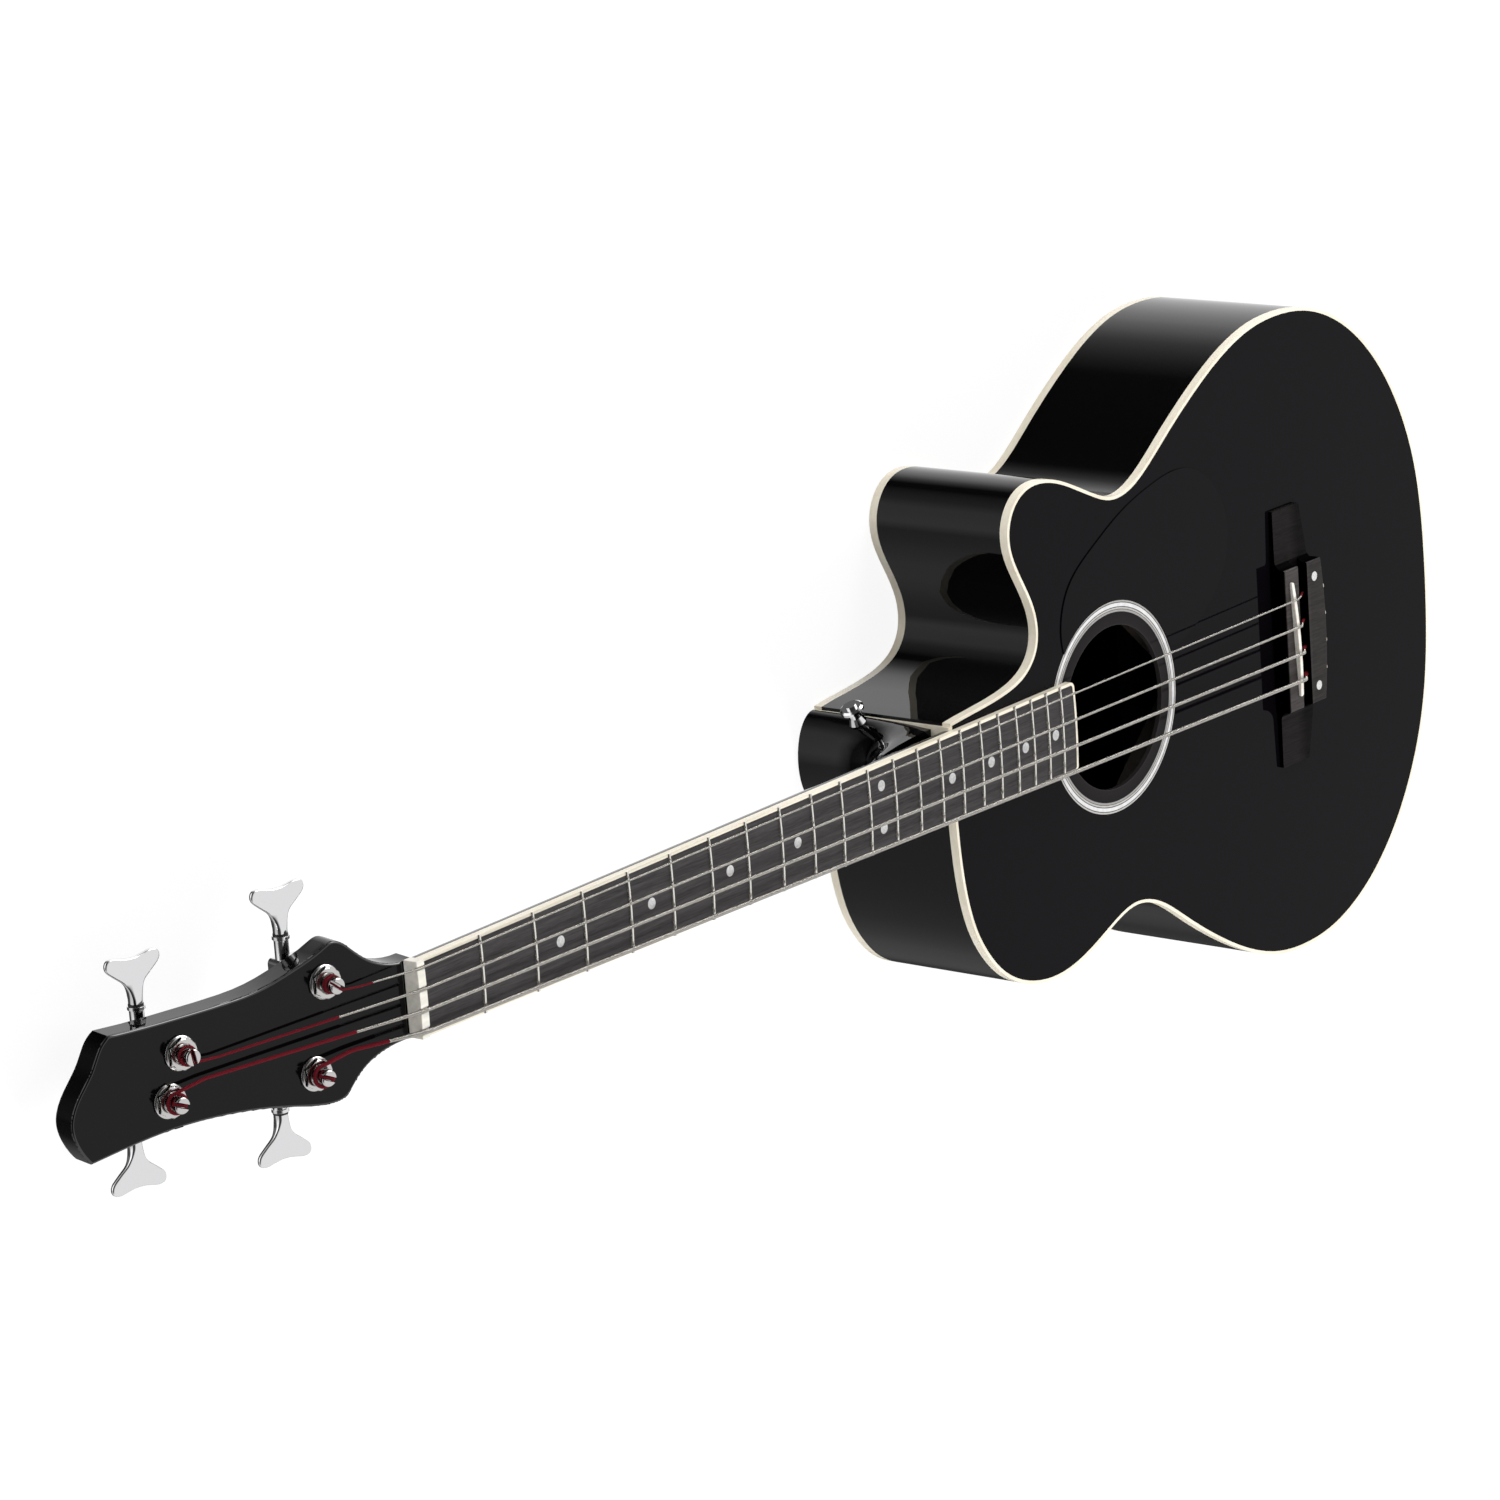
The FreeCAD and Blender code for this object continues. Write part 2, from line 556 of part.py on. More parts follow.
def bolt_places():
    """Centres of the two bridge bolts, under the two dots."""
    return [(BRIDGE_DOT_SETBACK, side * BRIDGE_DOT_SPREAD / 2) for side in (1, -1)]


def string_places(spread):
    """Side places of the four strings, thick to thin."""
    return {name: -spread / 2 + k * spread / 3 for k, name in enumerate(STRINGS)}


def saddle_x(y):
    """Where the slanted saddle's middle lies at a side place."""
    return SADDLE_SETBACK - y * math.tan(math.radians(SADDLE_SLANT))


def crown_drop(y, radius=BOARD_RADIUS):
    """How far a crowned surface falls at a side place."""
    return radius - math.sqrt(radius ** 2 - y ** 2)


def bridge_rear_x(y):
    """Where the bellied rear face of the bridge lies at a side place."""
    return BRIDGE_REAR - crown_drop(y, BELLY_RADIUS)


def bridge_blank():
    """Block with a bellied rear, on wings that thin out to their ends and rise to the block in a cove."""
    rear = bridge_rear_x(HALF_BLOCK)
    corners = [Vector(rear, HALF_BLOCK, 0), Vector(-BRIDGE_FRONT, HALF_BLOCK, 0),
               Vector(-BRIDGE_FRONT, -HALF_BLOCK, 0), Vector(rear, -HALF_BLOCK, 0)]
    belly = Part.Arc(corners[-1], Vector(BRIDGE_REAR, 0, 0), corners[0]).toShape()
    plan = Part.Wire([Part.makeLine(a, b) for a, b in zip(corners, corners[1:])] + [belly])
    block = Part.Face(plan).extrude(UP * BRIDGE_HEIGHT)
    rims = [e for e in block.Edges if e.BoundBox.ZMin > BRIDGE_HEIGHT / 2]
    block = block.makeFillet(BRIDGE_EDGE_RADIUS, rims)

    tip = BRIDGE_LENGTH / 2
    half_plan = [(-WING_FRONT, HALF_BLOCK), (-WING_END_FRONT, tip)]
    half_plan += [(WING_END_REAR, tip), (WING_REAR, HALF_BLOCK)]
    wings = prism(half_plan + [(x, -y) for x, y in reversed(half_plan)], 0, BRIDGE_HEIGHT)
    corners = upright_edges(wings, lambda middle: abs(middle.y) > HALF_BLOCK + OVERRUN)
    wings = wings.makeFillet(WING_CORNER_RADIUS, corners)

    foot = HALF_BLOCK + COVE_RADIUS
    dip = COVE_RADIUS * (1 - math.sqrt(0.5))

    def level(y, z):
        """Point of the section across the wings, at the bridge's front."""
        return Vector(-BRIDGE_FRONT, y, z)

    ridge = WING_HEIGHT + COVE_RADIUS
    rims = [Part.makeLine(level(-tip, 0), level(tip, 0)),
            Part.makeLine(level(HALF_BLOCK, ridge), level(-HALF_BLOCK, ridge))]
    for side in (1, -1):
        low, high = level(side * foot, WING_HEIGHT), level(side * HALF_BLOCK, ridge)
        cove = Part.Arc(low, level(side * (HALF_BLOCK + dip), WING_HEIGHT + dip), high).toShape()
        end = level(side * tip, WING_END_HEIGHT)
        rims += [cove, Part.makeLine(low, end), Part.makeLine(end, level(side * tip, 0))]
    rise = Part.Face(Part.Wire(Part.sortEdges(rims)[0])).extrude(ALONG_X * (BRIDGE_FRONT + BRIDGE_REAR))
    return joined([block, wings.common(rise)])


def make_bridge():
    """Bridge with its strung groove, saddle, dots, bolts and the strings' ball ends."""
    groove_end = HALF_BLOCK + COVE_RADIUS + OVERRUN
    bridge = bridge_blank().cut(box((BRIDGE_RIDGE_REAR, -groove_end, GROOVE_FLOOR),
                                    (GROOVE_REAR, groove_end, BRIDGE_HEIGHT + OVERRUN)))
    saddle = box((-SADDLE_WIDTH / 2, -SADDLE_LENGTH / 2, BRIDGE_HEIGHT - SADDLE_DEPTH),
                 (SADDLE_WIDTH / 2, SADDLE_LENGTH / 2, SADDLE_CROWN))
    saddle = saddle.makeFillet(SADDLE_WIDTH * SADDLE_END_SHARE, upright_edges(saddle, lambda middle: True))
    turn = Placement(Vector(SADDLE_SETBACK, 0, 0), Rotation(UP, SADDLE_SLANT))
    saddle = saddle.transformed(turn.toMatrix(), copy=True)
    crown_z = SADDLE_CROWN - BOARD_RADIUS
    bridge = bridge.cut(saddle)
    save("saddle", saddle.common(rod(BOARD_RADIUS, (-BRIDGE_FRONT, 0, crown_z), (BRIDGE_REAR, 0, crown_z))))

    cuts, balls = [], []
    for name, y in string_places(STRING_SPREAD_AT_SADDLE).items():
        hole_radius = STRINGS[name][0] / 2 + STRING_HOLE_GAP
        end = bridge_rear_x(y) + BALL_PROUD
        seat = end - BALL_LENGTH
        z = ANCHOR_HEIGHT
        cuts.append(rod(hole_radius, (GROOVE_REAR - OVERRUN, y, z), (seat, y, z)))
        cuts.append(rod(BALL_RADIUS + FIT_GAP, (seat - FIT_GAP, y, z), (end + OVERRUN, y, z)))
        balls.append(rod(BALL_RADIUS, (seat, y, z), (end, y, z)))
    save("string_ball_ends", Part.makeCompound(balls))

    dot_top = BRIDGE_HEIGHT
    dots, bolts = [], []
    head_top = dot_top - BRIDGE_DOT_THICKNESS
    head_bottom = head_top - BOLT_HEAD_HEIGHT
    nut_top = -TOP_THICKNESS - BRIDGE_PLATE_THICKNESS
    for x, y in bolt_places():
        dots.append(rod(BRIDGE_DOT_RADIUS, (x, y, head_top), (x, y, dot_top)))
        shank_end = nut_top - BOLT_NUT_HEIGHT - BOLT_RADIUS
        bolts.append(joined([rod(BOLT_RADIUS, (x, y, shank_end), (x, y, head_top)),
                             rod(BOLT_HEAD_RADIUS, (x, y, head_bottom), (x, y, head_top))]))
        nut = hexagon(BOLT_NUT_WIDTH, nut_top - BOLT_NUT_HEIGHT, nut_top, (x, y))
        bolts.append(nut.cut(rod(BOLT_RADIUS, (x, y, nut_top - BOLT_NUT_HEIGHT), (x, y, nut_top))))
        cuts.append(rod(BRIDGE_DOT_RADIUS, (x, y, head_bottom), (x, y, dot_top + OVERRUN)))
        cuts.append(rod(BOLT_RADIUS + FIT_GAP, (x, y, -OVERRUN), (x, y, dot_top)))
    save("bridge", bridge.cut(Part.makeCompound(cuts)))
    save("bridge_dots", Part.makeCompound(dots))
    save("bridge_bolts", Part.makeCompound(bolts))


# Fretboard

def fret_x(number):
    """Place of a fret along the strings."""
    return X_NUT + SCALE_LENGTH * (1 - 2 ** (-number / OCTAVE_FRET))


def board_half_width(x):
    """Half width of the fretboard at a place along it."""
    share = (x - X_NUT) / BOARD_LENGTH
    return (BOARD_WIDTH_AT_NUT + share * (BOARD_WIDTH_AT_END - BOARD_WIDTH_AT_NUT)) / 2


def board_blank(inset):
    """Tapered board with a crowned top and rounded far corners, smaller all round by inset."""
    near, far = board_half_width(X_NUT) - inset, board_half_width(X_BOARD_END) - inset
    end = X_BOARD_END - inset
    blank = prism([(X_NUT, -near), (end, -far), (end, far), (X_NUT, near)], 0, BOARD_THICKNESS)
    corners = upright_edges(blank, lambda middle: middle.x > X_JOINT)
    blank = blank.makeFillet(BOARD_CORNER_RADIUS - inset, corners)
    axis_z = BOARD_THICKNESS - BOARD_RADIUS
    return blank.common(rod(BOARD_RADIUS, (X_NUT - OVERRUN, 0, axis_z), (X_BOARD_END + OVERRUN, 0, axis_z)))


def make_fretboard():
    """Crowned board, its pale edge strip, frets seated in slots, and the position dots."""
    board = board_blank(BOARD_TRIM_WIDTH)
    trim = board_blank(0).cut(board)
    frets, slots = [], []
    axis_z = BOARD_THICKNESS - BOARD_RADIUS
    half_crown = FRET_CROWN_WIDTH / 2
    for number in range(1, FRET_COUNT + 1):
        x = fret_x(number)
        sweep = math.degrees(math.asin(board_half_width(x) / BOARD_RADIUS))
        front, rear = Vector(x - half_crown, 0, BOARD_THICKNESS), Vector(x + half_crown, 0, BOARD_THICKNESS)
        top = Vector(x, 0, BOARD_THICKNESS + FRET_CROWN_HEIGHT)
        crown = Part.Wire([Part.makeLine(front, rear), Part.Arc(rear, top, front).toShape()])
        turn = Placement(ORIGIN, Rotation(ALONG_X, -sweep), Vector(x, 0, axis_z))
        face = Part.Face(crown).transformed(turn.toMatrix(), copy=True)
        bead = face.revolve(Vector(x, 0, axis_z), ALONG_X, 2 * sweep)
        half, half_tang = board_half_width(x) - BOARD_TRIM_WIDTH, FRET_TANG_WIDTH / 2
        slot_floor = BOARD_THICKNESS - crown_drop(half) - FRET_TANG_DEPTH
        slot = box((x - half_tang, -half, slot_floor), (x + half_tang, half, BOARD_THICKNESS + OVERRUN))
        tang = slot.common(rod(BOARD_RADIUS, (x - half_crown, 0, axis_z), (x + half_crown, 0, axis_z)))
        frets.append(joined([bead, tang]))
        slots.append(slot)
    dots = []
    for number in DOTTED_FRETS:
        x = (fret_x(number) + fret_x(number - 1)) / 2
        out = board_half_width(x) * DOT_PAIR_SHARE
        sides = (out, -out) if number == OCTAVE_FRET else (0,)
        for y in sides:
            low, high = BOARD_THICKNESS - DOT_DEPTH, BOARD_THICKNESS + OVERRUN
            dots.append(rod(DOT_RADIUS, (x, y, low), (x, y, high)))
    dots = Part.makeCompound(dots)
    whole = rod(BOARD_RADIUS, (X_NUT, 0, axis_z), (X_BOARD_END, 0, axis_z))
    save("fretboard", board.cut(Part.makeCompound(slots)).cut(dots))
    save("fretboard_binding", trim)
    save("frets", Part.makeCompound(frets))
    save("position_dots", dots.common(whole))


# Neck and headstock

def head_slab(low, high):
    """Headstock outline pushed between two heights over the headstock's face, in the head's own frame."""
    curves = []
    for shares in (HEAD_TREBLE_SHARES, HEAD_END_SHARES, HEAD_BASS_SHARES):
        curves.append(spline([Vector(x * HEAD_LENGTH, -y * HEAD_WIDTH / 2, low) for x, y in shares]))
    first = curves[0].valueAt(curves[0].FirstParameter)
    last = curves[-1].valueAt(curves[-1].LastParameter)
    return Part.Face(Part.Wire(curves + [Part.makeLine(last, first)])).extrude(Vector(0, 0, high - low))


def neck_section(x, half_width, depth):
    """Flat-topped, round-backed section of the neck."""
    edge_points = Vector(x, -half_width, 0), Vector(x, half_width, 0)
    back = half_ellipse(edge_points[0], edge_points[1], Vector(0, 0, -depth))
    return Part.Wire([back, Part.makeLine(edge_points[1], edge_points[0])])


def heel_section(depth, nose, half_width):
    """Level section of the heel: straight where it meets the body, rounded toward the nut."""
    x = X_JOINT - JOINT_STRIP_THICKNESS
    edge_points = Vector(x, -half_width, -depth), Vector(x, half_width, -depth)
    front = half_ellipse(edge_points[0], edge_points[1], Vector(-nose, 0, 0))
    return Part.Wire([front, Part.makeLine(edge_points[1], edge_points[0])])


def make_heel():
    """Heel, swept from the shaft down to the level of the back."""
    sections = [heel_section(depth * DEPTH_AT_NECK, nose * HEEL_NOSE, width * HEEL_WIDTH / 2)
                for depth, nose, width in HEEL_SECTION_SHARES]
    return Part.makeLoft(sections, True, False).common(above_back(0, DEPTH_AT_TAIL))


def make_neck(heel):
    """Neck shaft, heel and headstock in one piece, veneer, joint strip, truss rod and its nut."""
    rear = X_JOINT - JOINT_STRIP_THICKNESS
    shaft = Part.makeLoft([neck_section(X_NUT - NUT_LENGTH, board_half_width(X_NUT), NECK_DEPTH_AT_NUT),
                           neck_section(rear, board_half_width(rear), NECK_DEPTH_AT_BODY)], True, True)
    core = head_slab(-HEAD_THICKNESS, -VENEER_THICKNESS).transformed(HEAD_TURN, copy=True)
    neck = joined([shaft, heel, core])
    nut_front = X_NUT - NUT_LENGTH
    seat = box((nut_front - OVERRUN, -HEAD_WIDTH, HEAD_FACE_Z), (X_NUT, HEAD_WIDTH, BOARD_THICKNESS))
    over_face = box((-HEAD_LENGTH, -HEAD_WIDTH, -VENEER_THICKNESS),
                    (HEAD_LENGTH + OVERRUN, HEAD_WIDTH, HEAD_LENGTH))
    before_nut = box((X_NUT - HEAD_LENGTH - HEAD_WIDTH, -HEAD_WIDTH, BELOW_ALL),
                     (nut_front, HEAD_WIDTH, HEAD_THICKNESS))
    over_face = over_face.transformed(HEAD_TURN, copy=True).common(before_nut)
    half_channel = ROD_RADIUS + GLUE_LINE_GAP
    channel = box((ROD_AXIS_START[0], -half_channel, -ROD_DEPTH - half_channel),
                  (rear + OVERRUN, half_channel, OVERRUN))
    holes = []
    for side, x_share, y_share, _ in TUNER_SHARES.values():
        x, y = x_share * HEAD_LENGTH, -y_share * HEAD_WIDTH / 2
        through = -HEAD_THICKNESS - OVERRUN
        holes.append(rod(BUSHING_RADIUS + GLUE_LINE_GAP, (x, y, through), (x, y, OVERRUN)))
        screw_x = x - HOUSING_RADIUS - LUG_REACH
        screw_end = MACHINE_SCREW_LENGTH - LUG_THICKNESS - HEAD_THICKNESS
        holes.append(rod(MACHINE_SCREW_RADIUS, (screw_x, y, through), (screw_x, y, screw_end)))
    holes = Part.makeCompound(holes).transformed(HEAD_TURN, copy=True)
    button_axis, button_base = heel_button_seat(heel)
    screw_hole = rod(BUTTON_SCREW_RADIUS, button_base - button_axis * BUTTON_SCREW_LENGTH,
                     button_base + button_axis * OVERRUN)
    save("neck", neck.cut(seat).cut(over_face).cut(channel).cut(holes).cut(screw_hole))
    veneer = head_slab(-VENEER_THICKNESS, 0).transformed(HEAD_TURN, copy=True)
    save("headstock_veneer", veneer.cut(holes).common(before_nut))

    strip = box((rear, -HEEL_WIDTH / 2, BELOW_ALL), (X_JOINT, HEEL_WIDTH / 2, 0))
    save("heel_joint_strip", strip.common(above_back(0, DEPTH_AT_TAIL)).cut(ROD_TUNNEL))
    save("truss_rod", rod(ROD_RADIUS, ROD_AXIS_START, ROD_AXIS_END))
    nut_start = X_JOINT + SIDE_THICKNESS + BLOCK_LENGTH + GLUE_LINE_GAP
    nut = rod(ROD_NUT_RADIUS, (nut_start, 0, -ROD_DEPTH), (nut_start + ROD_NUT_LENGTH, 0, -ROD_DEPTH))
    bore = rod(ROD_RADIUS + FIT_GAP, (nut_start, 0, -ROD_DEPTH), (ROD_AXIS_END[0] + FIT_GAP, 0, -ROD_DEPTH))
    turn = Placement(Vector(*ROD_AXIS_END), Rotation(ALONG_Y, 90))
    socket = hexagon(ROD_NUT_SOCKET, 0, ROD_NUT_LENGTH).transformed(turn.toMatrix(), copy=True)
    save("truss_rod_nut", nut.cut(bore).cut(socket))


def make_nut():
    """Slotted nut block with a crowned top."""
    top = BOARD_THICKNESS + NUT_HEIGHT_OVER_BOARD
    blank = box((X_NUT - NUT_LENGTH, -NUT_WIDTH / 2, HEAD_FACE_Z), (X_NUT, NUT_WIDTH / 2, top))
    crown_z = top - BOARD_RADIUS
    crown = rod(BOARD_RADIUS, (X_NUT - NUT_LENGTH - OVERRUN, 0, crown_z), (X_NUT + OVERRUN, 0, crown_z))
    blank = blank.common(crown)
    cuts = []
    for name, y in string_places(STRING_SPREAD_AT_NUT).items():
        radius = STRINGS[name][0] / 2
        floor = nut_string_height(name) - radius - NUT_SLOT_GAP
        middle, end = X_NUT - NUT_LENGTH / 2, X_NUT - NUT_LENGTH - OVERRUN
        slope = math.tan(math.radians(NUT_SLOT_SLOPE))
        side = [(X_NUT + OVERRUN, floor), (middle, floor), (end, floor - (middle - end) * slope),
                (end, top + OVERRUN), (X_NUT + OVERRUN, top + OVERRUN)]
        cuts.append(prism(side, y - radius - NUT_SLOT_SIDE_GAP, y + radius + NUT_SLOT_SIDE_GAP, "xz"))
    save("nut", blank.cut(Part.makeCompound(cuts)))


def nut_string_height(name):
    """Height of a string's middle over the nut."""
    y = string_places(STRING_SPREAD_AT_NUT)[name]
    return BOARD_THICKNESS + FRET_CROWN_HEIGHT + STRING_CLEARANCE + STRINGS[name][0] / 2 - crown_drop(y)


# Strap buttons

def heel_button_seat(heel):
    """Outward direction and seat of the button, square to the heel's cutaway side."""
    inside = Vector(X_JOINT - HEEL_BUTTON_SETBACK, HEEL_WIDTH / 4, -HEEL_BUTTON_DEPTH)
    line = Part.makeLine(inside, inside + ALONG_Y * HEEL_WIDTH).common(heel)
    seat = max((vertex.Point for vertex in line.Vertexes), key=lambda point: point.y)
    side = min(heel.Faces, key=lambda face: face.distToShape(Part.Vertex(seat))[0])
    outwards = side.normalAt(*side.Surface.parameter(seat))
    if outwards.y < 0:
        outwards = outwards * -1
    return outwards, seat + outwards * BUTTON_SEAT_GAP


def make_strap_buttons(heel):
    """Waisted buttons at the heel and the tail, each held by a screw."""
    heel_axis, heel_base = heel_button_seat(heel)
    print("heel button seat", [round(v, 2) for v in LAY_FLAT.multVec(heel_base)],
          "axis", [round(v, 3) for v in LAY_FLAT.Rotation.multVec(heel_axis)])
    stations = {"heel": (heel_axis, heel_base), "tail": (ALONG_X, Vector(X_TAIL, 0, -DEPTH_AT_TAIL / 2))}
    waist_low, waist_high, rim_low, rim_high = [share * BUTTON_HEIGHT for share in BUTTON_HEIGHT_SHARES]
    bore = BUTTON_SCREW_RADIUS + FIT_GAP
    profile = [
        (bore, 0), (BUTTON_FOOT_RADIUS, 0),
        (BUTTON_WAIST_RADIUS, waist_low), (BUTTON_WAIST_RADIUS, waist_high),
        (BUTTON_RADIUS, rim_low), (BUTTON_RADIUS, rim_high),
        (BUTTON_RADIUS * BUTTON_CROWN_SHARE, BUTTON_HEIGHT), (bore, BUTTON_HEIGHT),
    ]
    corners = [Vector(r, 0, h) for r, h in profile]
    button = Part.Face(Part.makePolygon(corners + corners[:1])).revolve(ORIGIN, UP, 360)
    head = (0, 0, BUTTON_HEIGHT)
    screw = joined([rod(BUTTON_SCREW_RADIUS - FIT_GAP, (0, 0, BUTTON_HEIGHT - BUTTON_SCREW_LENGTH), head),
                    rod(BUTTON_HEAD_RADIUS, head, (0, 0, BUTTON_HEIGHT + BUTTON_HEAD_HEIGHT))])
    for name, (axis, base) in stations.items():
        place = Placement(base, Rotation(UP, axis)).toMatrix()
        save(f"strap_button_{name}", button.transformed(place, copy=True))
        save(f"strap_screw_{name}", screw.transformed(place, copy=True))


# Pickguard

def make_pickguard():
    """Thin teardrop plate beside the soundhole, stopping at the inlaid ring."""
    points = outline_points(PICKGUARD_SHARES)
    edge = spline(points)
    wire = Part.Wire([edge, Part.makeLine(points[-1], points[0])])
    plate = Part.Face(wire).extrude(Vector(0, 0, PICKGUARD_THICKNESS))
    ring = rod(RING_OUTER_RADIUS + GLUE_LINE_GAP, (X_HOLE, 0, -OVERRUN), (X_HOLE, 0, OVERRUN))
    solids = plate.cut(ring).Solids
    save("pickguard", max(solids, key=lambda s: s.Volume))


# Tuning machines, in the frame of the head: X to the tip, Y outwards to the key, Z up from the face

def make_gear():
    """Wheel pressed on the post, its slanted teeth following the worm's thread, a gap facing the worm."""
    root, tip = PITCH_RADIUS - ROOT_FALL, PITCH_RADIUS + TIP_RISE
    slant = GEAR_WIDTH / 2 * WORM_LEAD / (2 * math.pi * WORM_PITCH_RADIUS) / PITCH_RADIUS
    sections = []
    for height, shift in ((SHAFT_Z - GEAR_WIDTH / 2, -slant), (SHAFT_Z + GEAR_WIDTH / 2, slant)):
        points = []
        for k in range(GEAR_TEETH):
            middle = 2 * math.pi * (k + 0.5) / GEAR_TEETH + shift
            for radius, side in ((root, -1), (tip, -1), (tip, 1), (root, 1)):
                half = GEAR_TOOTH_THICKNESS / 2 - (radius - PITCH_RADIUS) * FLANK
                turn = middle + side * half / radius
                points.append(Vector(radius * math.cos(turn), radius * math.sin(turn), height))
        sections.append(Part.makePolygon(points + points[:1]))
    wheel = Part.makeLoft(sections, True, True)
    return wheel.cut(rod(POST_NECK_RADIUS, (0, 0, SHAFT_Z - GEAR_WIDTH), (0, 0, SHAFT_Z + GEAR_WIDTH)))


def make_worm():
    """Single-start screw on a core, its thread centred on the gear's gap."""
    root = WORM_PITCH_RADIUS - ROOT_FALL * WORM_REACH_SHARE
    tip = WORM_PITCH_RADIUS + TIP_RISE * WORM_REACH_SHARE
    base = root - THREAD_SINK
    height = WORM_TURNS * WORM_LEAD
    corners = []
    for radius, side in ((base, -1), (tip, -1), (tip, 1), (base, 1)):
        half = WORM_THREAD_THICKNESS / 2 - (radius - WORM_PITCH_RADIUS) * FLANK
        corners.append(Vector(radius, 0, side * half))
    helix = Part.Wire(Part.makeHelix(WORM_LEAD, height, WORM_PITCH_RADIUS))
    thread = helix.makePipeShell([Part.makePolygon(corners + corners[:1])], True, True)
    # At its middle the thread faces the wheel, half a turn from where the helix begins.
    thread.translate(Vector(0, 0, -height / 2))
    thread.rotate(ORIGIN, UP, 180 - 180 * WORM_TURNS)
    core = Part.makeCylinder(root, WORM_LENGTH, Vector(0, 0, -WORM_LENGTH / 2))
    turn = Placement(Vector(WORM_OFFSET, 0, SHAFT_Z), Rotation(ALONG_X, -90))
    return core.fuse(thread).transformed(turn.toMatrix(), copy=True)


def key_plate():
    """Fishtail plate in the plane of the shaft, from half shares mirrored."""
    start = TUBE_END + KEY_RUNNING_GAP + KEY_RING_LENGTH
    rise = KEY_REACH - start
    low = SHAFT_Z - KEY_THICKNESS / 2
    half = [Vector(WORM_OFFSET + x * KEY_SPAN / 2, start + y * rise, low) for x, y in KEY_SHARES]
    other = [Vector(2 * WORM_OFFSET - p.x, p.y, p.z) for p in reversed(half[:-1])]
    edge = spline(half + other)
    wire = Part.Wire([edge, Part.makeLine(other[-1], half[0])])
    plate = Part.Face(wire).extrude(Vector(0, 0, KEY_THICKNESS))
    return plate, start


def on_shaft(radius, start, end):
    """Cylinder on the worm's axis, between two places along it."""
    return rod(radius, (WORM_OFFSET, start, SHAFT_Z), (WORM_OFFSET, end, SHAFT_Z))


def on_post(radius, low, high, x=0):
    """Cylinder beside or on the post's axis, between two heights."""
    return rod(radius, (x, 0, low), (x, 0, high))


def make_key():
    """Key plate with its stem and the shaft that reaches the worm."""
    plate, start = key_plate()
    stem = on_shaft(KEY_STEM_RADIUS, start, start + (KEY_REACH - start) * KEY_STEM_SHARE)
    return joined([plate, stem, on_shaft(SHAFT_RADIUS, WORM_LENGTH / 2, start + KEY_STEM_RADIUS)])


def make_post():
    """Waisted and slotted post, stepped down through the wheel to its pivot in the cover."""
    shoulder = -HEAD_THICKNESS - POST_SHOULDER_DEPTH
    step = SHAFT_Z - GEAR_WIDTH / 2 - POST_STEP_GAP
    post = joined([
        on_post(POST_RADIUS, shoulder, POST_WAIST_BOTTOM),
        on_post(POST_WAIST_RADIUS, POST_WAIST_BOTTOM, POST_WAIST_TOP),
        on_post(POST_RADIUS, POST_WAIST_TOP, POST_HEIGHT),
        on_post(POST_NECK_RADIUS, step, shoulder),
        on_post(POST_PIVOT_RADIUS, HOUSING_LOW + COVER_THICKNESS + FIT_GAP, step),
    ])
    return post.cut(box((-POST_SLOT_WIDTH / 2, -POST_RADIUS - OVERRUN, POST_HEIGHT - POST_SLOT_DEPTH),
                        (POST_SLOT_WIDTH / 2, POST_RADIUS + OVERRUN, POST_HEIGHT + OVERRUN)))


